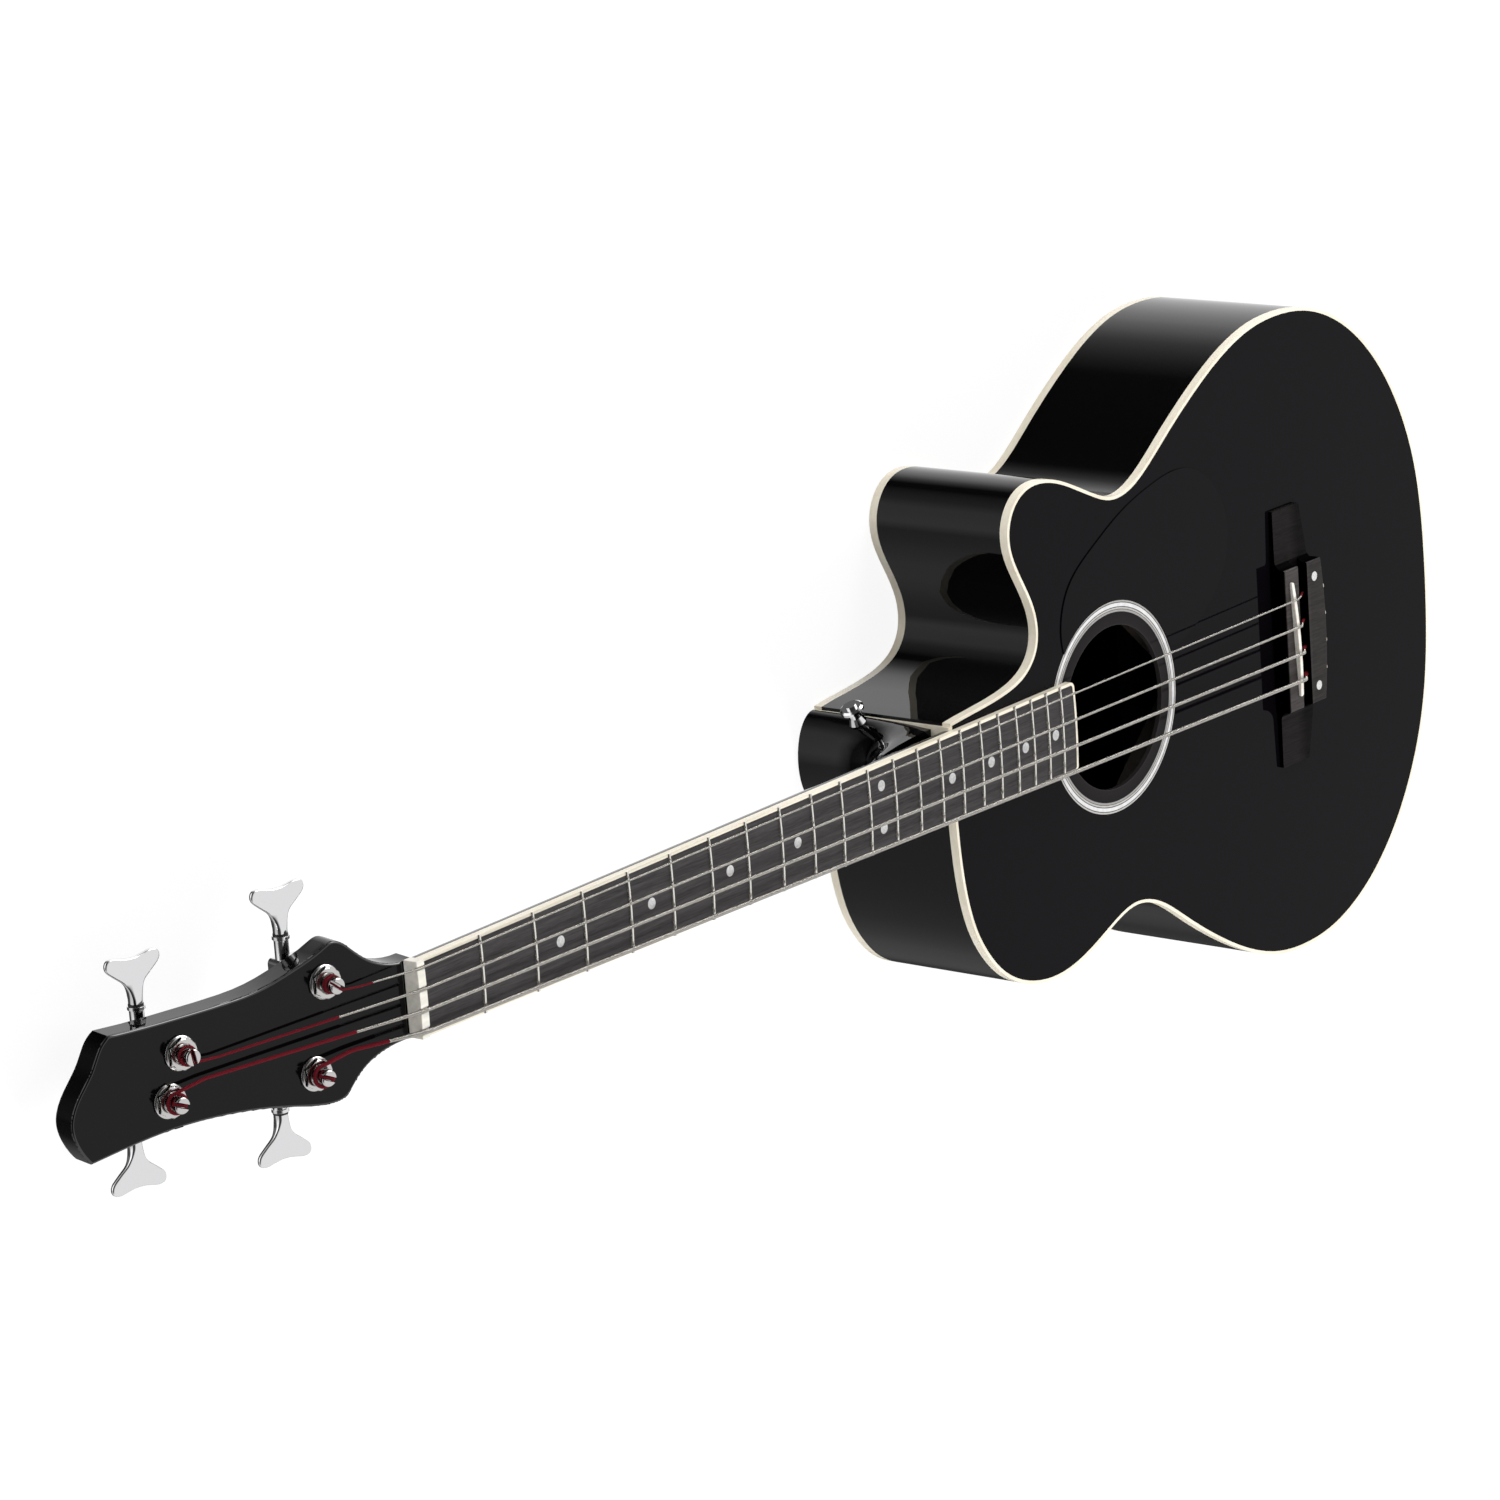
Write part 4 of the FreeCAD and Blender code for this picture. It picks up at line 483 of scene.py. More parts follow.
def softened(node_name: str, material: Material, width: float,
             keep: Callable[[np.ndarray], np.ndarray] | None = None,
             edge: Material | None = None) -> bpy.types.Object:
    """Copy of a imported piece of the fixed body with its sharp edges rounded, which stands for it.

    The copy's loose triangles are merged, flat ones are joined, and a bevel rounds its edges.

    Args:
        node_name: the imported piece.
        material: its finish.
        width: width of the rounding in metres.
        keep: says for each point whether edges between such points are rounded; all are if it
            is missing.
        edge: finish of the rounding, where it differs.

    Returns:
        The new piece.
    """
    form = bmesh.new()
    form.from_mesh(frame["nodes"][node_name].data)
    bmesh.ops.remove_doubles(form, verts=form.verts, dist=WELD)
    bmesh.ops.dissolve_limit(form, angle_limit=math.radians(FLAT_DEGREES), verts=form.verts,
                             edges=form.edges)
    places = np.array([vertex.co[:] for vertex in form.verts])
    chosen = np.ones(len(places), dtype=bool) if keep is None else keep(places)
    form.verts.index_update()
    weights = form.edges.layers.float.new("bevel_weight_edge")
    crease = math.radians(PACKED_CREASE_DEGREES)
    for side in form.edges:
        sharp = side.is_manifold and side.calc_face_angle(0.0) > crease
        side[weights] = float(sharp and all(chosen[vertex.index] for vertex in side.verts))
    mesh = bpy.data.meshes.new("soft_" + node_name)
    form.to_mesh(mesh)
    form.free()
    piece = seated("soft_" + node_name, mesh, material, "root", PACKED_CREASE_DEGREES)
    bevel = piece.modifiers.new("edge_rounding", "BEVEL")
    bevel.width, bevel.segments, bevel.limit_method = width, 4, "WEIGHT"
    bevel.harden_normals = True
    if edge:
        mesh.materials.append(edge)
        bevel.material = 1
        bevel.use_clamp_overlap = False
    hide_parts(node_name)
    LOG.info("%s: edges rounded by %.2f mm", piece.name, width / MM)
    return piece


@dataclass(frozen=True)
class Lacquer:
    """Polished coloured lacquer over wood, with a faint orange peel and fine polishing haze.

    With a hole, the colour is paler from the hole's edge to the ring round it, with the palest line
    at the edge.
    """

    name: str
    tone: Colour
    roughness: float = 0.05
    specular: float = 0.2
    peel: float = 4 * MICRON
    hole: tuple[Colour, float, float] | None = None
    margin: float = 1 * MM
    lip: tuple[tuple[float, Colour], ...] = ((0.9 * MM, (0.030, 0.028, 0.027)),
                                             (1.6 * MM, (0.014, 0.012, 0.013)))
    last_band: tuple[float, Colour] = (1.2 * MM, (0.010, 0.009, 0.010))

    def build(self) -> Material:
        """Makes the material.

        Returns:
            The material.
        """
        g = Graph(self.name)
        here = g.place()
        haze = g.noise(here, 60.0, 4.0, 0.6)
        rough = g.spread(haze, 0.35, 0.7, self.roughness, self.roughness * 1.8)
        g.principled(Base_Color=self.hole_tone(g) if self.hole else self.tone, Roughness=rough,
                     Specular_IOR_Level=self.specular, IOR=1.5)
        g.bump(g.noise(here, 450.0, 2.0), self.peel)
        return g.material

    def hole_tone(self, g: Graph) -> Socket:
        """Colour by the distance from the hole's centre.

        Args:
            g: the material's graph.

        Returns:
            The colour socket.
        """
        centre, edge, ring = self.hole
        low, high = edge - self.margin, ring + self.margin
        away = g.spread(ring_distance(g, centre), low, high, 0.0, 1.0)
        bands = [(place / (high - low), tone) for place, tone in self.lip]
        back, tone = self.last_band
        return g.ramp(away, [(0.0, self.tone), *bands, (1.0 - back / (high - low), tone),
                             (1.0, self.tone)])


@dataclass(frozen=True)
class RingInlay:
    """Pale ring of thin bands round the soundhole, by distance from its centre."""

    name: str
    centre: Colour
    inner: float
    outer: float
    rim: Colour = (0.33, 0.32, 0.31)
    dark: Colour = (0.085, 0.080, 0.078)
    pale: Colour = (0.50, 0.485, 0.465)
    white: Colour = (0.74, 0.74, 0.74)

    def build(self) -> Material:
        """Makes the material, whose bands go by the share of the ring's width.

        Returns:
            The material.
        """
        g = Graph(self.name)
        share = g.spread(ring_distance(g, self.centre), self.inner, self.outer, 0.0, 1.0)
        bands = [(0.0, self.rim), (0.17, self.dark), (0.23, self.pale), (0.37, self.dark),
                 (0.45, self.white), (0.76, self.dark), (0.84, self.pale), (0.97, self.dark)]
        cloud = g.noise(g.place(), 260.0, 3.0)
        colour = g.add("Mix", {"data_type": "RGBA", "blend_type": "MULTIPLY"}, i0=1.0,
                       i6=g.ramp(share, bands, "CONSTANT"),
                       i7=g.ramp(cloud, [(0.3, grey(0.82)), (0.7, grey(1.0))]))
        g.principled(Base_Color=colour.outputs[2], Roughness=0.16, Specular_IOR_Level=0.3)
        return g.material


def ring_distance(g: Graph, centre: Colour) -> Socket:
    """Distance from a centre in the row frame's XY plane.

    Args:
        g: the material's graph.
        centre: the place it is measured from.

    Returns:
        The socket of the distance in metres.
    """
    away = g.vector("SUBTRACT", g.add("TexCoord").outputs["Object"], centre)[0]
    flat = g.vector("MULTIPLY", away, (1.0, 1.0, 0.0))[0]
    return g.add("VectorMath", {"operation": "LENGTH"}, i0=flat).outputs["Value"]


@dataclass(frozen=True)
class DarkWood:
    """Oiled dark wood with long grain and open pores along the neck."""

    name: str
    light: Colour
    dark: Colour
    specular: float = 0.3
    grain: Colour = (18.0, 700.0, 500.0)
    pores: Colour = (120.0, 2600.0, 1800.0)

    def build(self) -> Material:
        """Makes the material.

        Returns:
            The material.
        """
        g = Graph(self.name)
        grain = g.noise(g.place(self.grain), 1.0, 5.0, 0.62)
        pores = g.noise(g.place(self.pores), 1.0, 2.0)
        both = g.math("ADD", g.math("MULTIPLY", grain, 0.7), g.math("MULTIPLY", pores, 0.3))
        tone = g.ramp(both, [(0.36, self.dark), (0.62, self.light)])
        specular: Any = self.specular
        # Where shade is painted on, it darkens both the colour and the reflection.
        lit_share = self.painted_light_share(g)
        if lit_share is not None:
            tone = g.add("VectorMath", {"operation": "SCALE"}, i0=tone, Scale=lit_share).outputs[0]
            specular = g.math("MULTIPLY", lit_share, self.specular)
        g.principled(Base_Color=tone, Roughness=g.spread(pores, 0.3, 0.7, 0.62, 0.45),
                     Specular_IOR_Level=specular)
        g.bump(both, 60 * MICRON)
        return g.material

    def painted_light_share(self, g: Graph) -> Socket | None:
        """Share of the colour that painted shade leaves, or nothing where no shade is painted."""
        return None


@dataclass(frozen=True)
class BridgeWood(DarkWood):
    """Dark wood with painted shade: nearly black on its faces and in its groove, with its full
    colour only on the ridge and the rear top, where light falls.

    Heights are over the soundboard's face, whose height in the row frame is face + slope * x.
    """

    face: float = 109.46 * MM
    slope: float = 0.0261
    wing_height: float = 3.6 * MM
    top_height: float = 10.2 * MM
    ridge_rear: float = 7.0 * MM
    groove_rear: float = 17.0 * MM

    def painted_light_share(self, g: Graph) -> Socket:
        """Share of the wood's colour that is kept, which paints shade on it.

        It is little on faces that look to the nut, less on the wings than on top, and least in the
        groove, as painted shade where less light falls.

        Args:
            g: the material's graph.

        Returns:
            The socket of the share.
        """
        place = g.add("TexCoord").outputs["Object"]
        here = g.add("SeparateXYZ", None, Vector=place).outputs
        normal = g.add("NewGeometry").outputs["Normal"]
        facing = g.add("SeparateXYZ", None, Vector=normal).outputs
        height = g.math("SUBTRACT", here["Z"], g.math("MULTIPLY", here["X"], self.slope))
        share = g.spread(height, self.face + self.wing_height, self.face + self.top_height,
                         0.0, 1.0)
        # Painted shade by height: full colour only at the top, nearly black between the wings and
        # the top.
        by_height = g.ramp(share, [(0.0, grey(0.22)), (0.06, grey(0.02)), (0.9, grey(0.02)),
                                   (1.0, grey(1.0))])
        by_place = g.spread(here["X"], self.ridge_rear, self.groove_rear, 1.5, 0.8)
        # Painted shade on faces that look to the nut.
        by_facing = g.spread(facing["X"], -0.75, -0.3, 0.03, 1.0)
        return g.math("MULTIPLY", g.math("MULTIPLY", by_height, by_place), by_facing)


@dataclass(frozen=True)
class Clouded:
    """Plain stuff whose colour drifts from a shade to a tone with one grey noise."""

    name: str
    shade: Colour
    tone: Colour
    drift: tuple[float, float]
    roughness: float
    stretch: Colour = (1.0, 1.0, 1.0)
    scale: float = 1.0
    detail: float = 4.0
    mottle: float = 0.5
    relief: float = 0.0
    peel: float = 0.0
    sockets: dict[str, float] = field(default_factory=dict)

    def build(self) -> Material:
        """Makes the material, with the noise's own relief or a finer peel.

        Returns:
            The material.
        """
        g = Graph(self.name)
        cloud = g.noise(g.place(self.stretch), self.scale, self.detail, self.mottle)
        stops = list(zip(self.drift, (self.shade, self.tone)))
        g.principled(Base_Color=g.ramp(cloud, stops), Roughness=self.roughness, **self.sockets)
        if self.relief:
            g.bump(cloud, self.relief)
        if self.peel:
            g.bump(g.noise(g.place(), 900.0, 2.0), self.peel)
        return g.material


@dataclass(frozen=True)
class Metal:
    """Bare or plated metal with a little wear in its polish."""

    name: str
    tone: Colour
    roughness: float
    grain: Colour = (400.0, 400.0, 400.0)
    depth: float = 2 * MICRON

    def build(self) -> Material:
        """Makes the material.

        Returns:
            The material.
        """
        g = Graph(self.name)
        scratch = g.noise(g.place(self.grain), 1.0, 3.0, 0.6)
        rough = g.spread(scratch, 0.3, 0.7, self.roughness, self.roughness * 1.7)
        g.principled(Base_Color=self.tone, Metallic=1.0, Roughness=rough)
        g.bump(scratch, self.depth)
        return g.material


@dataclass(frozen=True)
class WindUp:
    """Round-wound wire or thread, whose turns follow the piece's own map.

    U is the length along it in metres and V the way round. The height of a turn is
    (1 + sin(2 pi (U / pitch + V))) / 2. The colour falls from the tone on a turn's crest to the
    shade in the valleys between turns, which is painted shade.
    """

    name: str
    tone: Colour
    # shade: colour in the valleys between turns, painted shade
    shade: Colour
    pitch: float
    metallic: float
    roughness: float
    specular: float = 0.15
    depth_share: float = 0.25

    def build(self) -> Material:
        """Makes the material.

        Returns:
            The material.
        """
        g = Graph(self.name)
        uv = g.add("UVMap", {"uv_map": "UVMap"}).outputs["UV"]
        parts = g.add("SeparateXYZ", None, Vector=uv).outputs
        phase = g.math("ADD", g.math("DIVIDE", parts["X"], self.pitch), parts["Y"])
        wave = g.math("SINE", g.math("MULTIPLY", phase, TURN))
        height = g.math("MULTIPLY", g.math("ADD", wave, 1.0), 0.5)
        # Painted shade: the colour falls to the shade in the valleys between turns.
        g.principled(Base_Color=g.ramp(height, [(0.0, self.shade), (0.5, self.tone)]),
                     Metallic=self.metallic, Roughness=self.roughness,
                     Specular_IOR_Level=self.specular)
        g.bump(height, self.pitch * self.depth_share)
        return g.material


class Finish(Enum):
    """The record's slots, each with the finish that dresses it."""

    TOP = "top_lacquer"
    BODY = "body_lacquer"
    HEAD = "head_lacquer"
    CREAM = "cream_binding"
    RING = "ring_inlay"
    GUARD = "dark_pickguard"
    INNER = "inner_wood"
    DARK_WOOD = "dark_wood"
    BONE = "white_bone"
    PEARL = "pearl_dots"
    STEEL = "steel"
    FRET = "fret_metal"
    CHROME = "chrome"
    STRING = "wound_string"
    BRASS = "brass_ends"
    GEAR = "brass_gear"
    RUBBER = "black_ring"


@dataclass(frozen=True)
class Palette:
    """Every finish of the guitar, with the soundhole's sizes that two of them follow."""

    hole_edge: float = 50.4 * MM
    ring_inner: float = 58.4 * MM
    ring_outer: float = 65.4 * MM
    head_black: Colour = (0.0016, 0.0014, 0.0018)

    def build(self) -> dict[Finish, Material]:
        """Makes the finish of each slot once.

        Returns:
            The materials by finish.
        """
        low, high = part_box("rosette")
        centre = ((low.x + high.x) / 2, (low.y + high.y) / 2, 0.0)
        finishes = {
            Finish.TOP: Lacquer("top_lacquer", (0.0024, 0.0019, 0.0028), 0.03, 0.045,
                                hole=(centre, self.hole_edge, self.ring_inner)),
            Finish.BODY: Lacquer("body_lacquer", (0.0012, 0.0011, 0.0014), 0.02, 0.18),
            Finish.HEAD: Lacquer("head_lacquer", self.head_black, 0.05, 0.19),
            Finish.CREAM: Clouded(
                "cream_binding", (0.78, 0.71, 0.57), (0.86, 0.80, 0.67), (0.3, 0.62), 0.28,
                (14.0, 90.0, 260.0), mottle=0.6, peel=4 * MICRON,
                sockets={"Specular_IOR_Level": 0.45, "Subsurface_Weight": 0.08,
                         "Subsurface_Scale": 2 * MM}),
            Finish.RING: RingInlay("ring_inlay", centre, self.ring_inner, self.ring_outer),
            Finish.GUARD: Lacquer("dark_pickguard", (0.0025, 0.0020, 0.0029), 0.04, 0.05),
            # Painted shade: the wood inside the body is kept near black, as the shade that fills
            # it.
            Finish.INNER: Clouded(
                "inner_wood", (0.010, 0.007, 0.005), (0.018, 0.013, 0.009), (0.3, 0.7), 0.75,
                (10.0, 260.0, 120.0), detail=5.0, mottle=0.6, relief=80 * MICRON),
            Finish.DARK_WOOD: DarkWood("dark_wood", (0.050, 0.045, 0.046),
                                       (0.018, 0.0165, 0.0165), 0.25),
            Finish.BONE: Clouded(
                "white_bone", (0.7396, 0.7138, 0.645), (0.86, 0.83, 0.75), (0.35, 0.6), 0.3,
                (60.0, 300.0, 300.0),
                sockets={"Subsurface_Weight": 0.1, "Subsurface_Scale": 2 * MM}),
            Finish.PEARL: Clouded(
                "pearl_dots", grey(0.45), (0.66, 0.66, 0.65), (0.35, 0.65), 0.18,
                scale=900.0, detail=3.0, mottle=0.7,
                sockets={"Specular_IOR_Level": 0.6, "Coat_Weight": 0.3, "Coat_Roughness": 0.1}),
            Finish.STEEL: Metal("steel", (0.55, 0.55, 0.56), 0.25),
            Finish.FRET: Metal("fret_metal", (0.80, 0.78, 0.73), 0.18),
            Finish.CHROME: Metal("chrome", (0.72, 0.72, 0.73), 0.05),
            Finish.STRING: Metal("wound_string", (0.85, 0.82, 0.75), 0.22),
            Finish.BRASS: Metal("brass_ends", (0.72, 0.66, 0.56), 0.2),
            Finish.GEAR: Metal("brass_gear", (0.72, 0.55, 0.28), 0.28),
            Finish.RUBBER: Clouded("black_ring", grey(0.008), grey(0.016), (0.3, 0.7), 0.5,
                                   scale=2500.0, detail=2.0, relief=10 * MICRON),
        }
        return {key: value.build() for key, value in finishes.items()}

    def rim(self) -> Material:
        """Lacquer of the headstock's rounded rim, which mirrors more than the flat face."""
        return Lacquer("head_rim_lacquer", self.head_black, 0.04, 0.8).build()

    def bridge(self) -> Material:
        """Dark wood of the bridge, with painted shade on its faces and in its groove."""
        return BridgeWood("bridge_wood", (0.034, 0.029, 0.028), (0.014, 0.012, 0.012),
                          0.14).build()

    def satin(self) -> Material:
        """Softer plating of posts, bushings and washers."""
        return Metal("satin_chrome", (0.56, 0.55, 0.54), 0.13).build()

    def wire(self) -> Material:
        """Round-wound wire of the strings."""
        return WindUp("string_winding", (0.60, 0.575, 0.53), (0.33, 0.31, 0.28), 0.55 * MM, 1.0,
                      0.26).build()

    def silk(self) -> Material:
        """Red silk at the strings' ends."""
        return WindUp("red_silk", (0.165, 0.006, 0.014), (0.055, 0.002, 0.005), 0.8 * MM, 0.0,
                      0.75).build()


def dress_nodes(materials: dict[Finish, Material], bridge: Material) -> None:
    """Gives every carried-over node the finish of its slot.

    Args:
        materials: finishes by slot.
        bridge: the bridge's own finish.
    """
    slots = {part["node"]: part["material_slot"] for part in frame["record"]["subparts"]}
    for name, node in frame["nodes"].items():
        node.data.materials.clear()
        node.data.materials.append(materials[Finish(slots[name])])
        LOG.info("dressed %s in %s", name, slots[name])
    frame["nodes"]["bridge"].data.materials[0] = bridge


@dataclass
class TuningMachine:
    """Key, washer, hexagon bushing and slotted post of one machine, in the machine's frame."""

    at: Machine
    chrome: Material
    satin: Material
    thread: Material
    shaft_offset: float = 9.0 * MM
    shaft_height: float = -23.0 * MM
    shaft_radius: float = 2.4 * MM
    shaft_start: float = 4.5 * MM
    key_start: float = 24.4 * MM
    key_reach: float = 50.5 * MM
    key_span: float = 33.0 * MM
    key_thickness: float = 3.2 * MM
    key_stem_radius: float = 3.6 * MM
    key_ridge: float = 1.4 * MM
    key_ridge_share: float = 0.13
    spine_share: float = 0.34
    spine_reach: float = 0.80
    neck_start_share: float = 0.04
    neck_share: float = 0.42
    post_radius: float = 5.0 * MM
    post_height: float = 12.8 * MM
    post_foot: float = -16.5 * MM
    head_radius: float = 4.5 * MM
    head_crown: float = 1.1 * MM
    waist_radius: float = 3.7 * MM
    waist_bottom: float = 1.4 * MM
    waist_top: float = 10.2 * MM
    slot_width: float = 2.3 * MM
    slot_depth: float = 3.4 * MM
    slot_flare: float = 0.25 * MM
    edge_break: float = 0.3 * MM
    fillet: float = 0.35 * MM
    washer_radius: float = 9.3 * MM
    washer_height: float = 1.2 * MM
    washer_rim: float = 0.45 * MM
    washer_slope: float = 0.9 * MM
    washer_gap: float = 0.05 * MM
    barrel_radius: float = 6.4 * MM
    barrel_foot: float = -14.95 * MM
    hexagon_width: float = 15.6 * MM
    hexagon_height: float = 2.8 * MM
    cone_slope: float = 1.25
    cone_margin: float = 0.12 * MM
    bore_radius: float = 5.1 * MM
    bore_chamfer: tuple[float, float] = (0.8 * MM, 0.5 * MM)
    key_outline: tuple[tuple[float, float], ...] = (
        (0.22, 0.0), (0.225, 0.14), (0.27, 0.30), (0.40, 0.45), (0.70, 0.61), (0.94, 0.75),
        (1.0, 0.87), (0.92, 0.975), (0.70, 1.0), (0.42, 0.965), (0.18, 0.935), (0.0, 0.93))

    def build(self) -> None:
        """Makes the pieces that turn."""
        name = self.at.name
        key = make_piece(f"cast_key_{name}", self.key_grids(), self.chrome, f"key_body_{name}")
        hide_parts(f"key_{self.at.name}")
        post = make_piece(f"slotted_post_{name}", self.post_grids(), self.satin,
                          f"post_body_{name}")
        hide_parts(f"post_{self.at.name}")

    def key_grids(self) -> list[np.ndarray]:
        """Front, back and shaft of the key.

        Across the plate, u runs from -1 to 1 between the outline and its mirror image, by way of
        a spine that is the outline drawn in to a third. The half thickness is
        t/2 * (1 - |u|^p)^(1/p), where t falls from the round stem's to the plate's and p rises
        from 2, a circle, to 5, a flat face with a round rim. A low ridge along the middle falls
        as exp(-(x/w)^2) to its sides.

        Returns:
            The grids in the row frame.
        """
        outline = smooth_line(np.array(self.key_outline), 8)
        x, y = outline[:, 0:1] * self.key_span / 2, outline[:, 1:2]
        spine_x, spine_y = self.spine_share * x, np.minimum(y, self.spine_reach)
        u = np.sin(np.linspace(-math.pi / 2, math.pi / 2, 33))[None, :]
        reach = np.abs(u)
        px = (spine_x + (x - spine_x) * reach) * np.sign(u)
        py = spine_y + (y - spine_y) * reach
        spread = np.clip((py - self.neck_start_share) / self.neck_share, 0.0, 1.0)
        blend = spread * spread * (3 - 2 * spread)
        thickness = 2 * self.key_stem_radius * (1 - blend) + self.key_thickness * blend
        ridge = self.key_ridge * np.exp(-(px / (self.key_ridge_share * self.key_span)) ** 2)
        middle = ridge * blend * np.clip(1.0 - py, 0.0, 1.0)
        power = 2 + 3 * blend
        half = (thickness / 2 + middle) * (1 - reach ** power) ** (1 / power)
        along = self.key_start + py * (self.key_reach - self.key_start)
        sheets = [np.stack([px, along, side * half], -1) for side in (1, -1)]
        foot = np.stack([sheet[0] for sheet in sheets])
        shaft_end = self.key_start + self.key_stem_radius
        rod = turned(np.array([(0.0, self.shaft_start), (self.shaft_radius, self.shaft_start),
                               (self.shaft_radius, shaft_end), (0.0, shaft_end)]), 24)
        shaft = np.stack([rod[..., 0], rod[..., 2], rod[..., 1]], -1)
        onto_shaft = np.array([self.shaft_offset, 0.0, self.shaft_height])
        return [self.at.place(grid + onto_shaft) for grid in (*sheets, foot, shaft)]

    def slot_turned(self, points: np.ndarray) -> np.ndarray:
        """Points turned about the post by the turn of its slot.

        Args:
            points: places in the machine's own frame.

        Returns:
            The turned places.
        """
        cosine, sine = math.cos(self.at.slot_turn), math.sin(self.at.slot_turn)
        x, y = points[..., 0], points[..., 1]
        return np.stack([x * cosine - y * sine, x * sine + y * cosine, points[..., 2]], -1)

    def post_grids(self) -> list[np.ndarray]:
        """Waisted post, and the two halves of its head on either side of the slot.

        A half's section is an arc of radius r from -b to b closed by its chord at x = c, with
        cos b = c / r. The head's crown is a quarter of a circle.

        Returns:
            The grids in the row frame.
        """
        slot_floor = self.post_height - self.slot_depth
        stem = eased([(0.0, self.post_foot), (self.post_radius, self.post_foot),
                      (self.post_radius, self.waist_bottom),
                      (self.waist_radius, self.waist_bottom + self.edge_break),
                      (self.waist_radius, slot_floor), (0.0, slot_floor)], self.fillet)
        quarter = np.linspace(0.0, 1.0, 6) * math.pi / 2
        crown = np.stack([self.head_radius - self.head_crown * (1 - np.cos(quarter)),
                          self.post_height - self.head_crown * (1 - np.sin(quarter))], -1)
        profile = np.array([(self.waist_radius, slot_floor - 0.1 * MM),
                            (self.waist_radius, self.waist_top),
                            (self.head_radius - self.edge_break, self.waist_top),
                            (self.head_radius, self.waist_top + self.edge_break), *crown])
        radius, height = profile[:, 0:1], profile[:, 1:2]
        risen = np.clip((height - self.post_height + self.edge_break) / self.edge_break, 0.0, 1.0)
        half_angle = np.arccos((self.slot_width / 2 + self.slot_flare * risen) / radius)
        angle = np.linspace(-1.0, 1.0, 25)[None, :] * half_angle
        arc = np.stack([radius * np.cos(angle), radius * np.sin(angle), height + 0 * angle], -1)
        section = np.concatenate([arc, arc[:, :1]], 1)
        middle = section.mean(1, keepdims=True)
        cap = [np.broadcast_to(middle[k], (1, section.shape[1], 3)) for k in (0, -1)]
        half = np.concatenate([cap[0], section, cap[1]])
        other = half * np.array([-1.0, -1.0, 1.0])
        return [self.at.place(self.slot_turned(grid)) for grid in (turned(stem), half, other)]

    def washer_grid(self) -> np.ndarray:
        """Domed washer: its top falls from the hexagon to a rolled rim.

        Returns:
            The grid in the row frame.
        """
        bore = self.barrel_radius + self.washer_gap
        profile = eased([(bore, 0.0), (self.washer_radius, 0.0),
                         (self.washer_radius, self.washer_rim),
                         (self.washer_radius - self.washer_slope, self.washer_height),
                         (bore, self.washer_height), (bore, 0.0)], self.fillet)
        return self.at.place(turned(profile, 64))

    def bushing_grid(self) -> np.ndarray:
        """Hexagon with cone-cut corners on a round barrel, bored through for the post.

        The hexagon's radius at angle a is w / (2 cos(a')), with a' the angle to the nearest
        face's middle, and a cone keeps it under a radius that falls as the height nears the top.

        Returns:
            The grid in the row frame.
        """
        low, high = self.washer_height, self.washer_height + self.hexagon_height
        face = self.hexagon_width / 2
        wide, deep = self.bore_chamfer
        cuts = [low, *(high - k * self.edge_break for k in (3, 2, 1, 0))]
        profile = np.array([(self.bore_radius, self.barrel_foot),
                            (self.barrel_radius, self.barrel_foot), (self.barrel_radius, low),
                            *((math.inf, cut) for cut in cuts),
                            (face - self.fillet, high), (self.bore_radius + wide, high),
                            (self.bore_radius, high - deep),
                            (self.bore_radius, self.barrel_foot)])
        radius, height = profile[:, 0:1], profile[:, 1:2]
        angle = np.linspace(0.0, TURN, 97)[None, :]
        sixth = math.pi / 3
        off = np.abs((angle + sixth / 2) % sixth - sixth / 2)
        cone = face + (high - height) * self.cone_slope + self.cone_margin
        radius = np.minimum(radius, np.minimum(face / np.cos(off), cone))
        grid = np.stack([radius * np.cos(angle), radius * np.sin(angle), height + 0 * angle], -1)
        return self.at.place(grid)

    def thread_tail(self, diameter: float) -> None:
        """Silk-wrapped end of the string where it crosses the post's slot and dips into it.

        Args:
            diameter: the string's diameter.
        """
        radius = min(diameter / 2, self.slot_width / 2 - 0.15 * MM)
        floor = self.post_height - self.slot_depth + radius - 0.4 * MM
        half = self.head_radius - 0.4 * MM
        corners = np.array([(0.0, -half - 0.5 * MM, floor - 0.6 * MM),
                            (0.1 * MM, -0.6 * half, floor + 0.15 * MM),
                            (0.0, 0.0, floor + 0.3 * MM),
                            (-0.1 * MM, 0.45 * half, floor + 0.1 * MM),
                            (0.0, 0.8 * half, floor - 0.3 * MM)])
        path = self.at.place(self.slot_turned(smooth_line(corners, 6)))
        grid, along = tube(path, radius, 12)
        make_piece(f"silk_tail_{self.at.name}", [grid], self.thread,
                   f"post_body_{self.at.name}", [along])


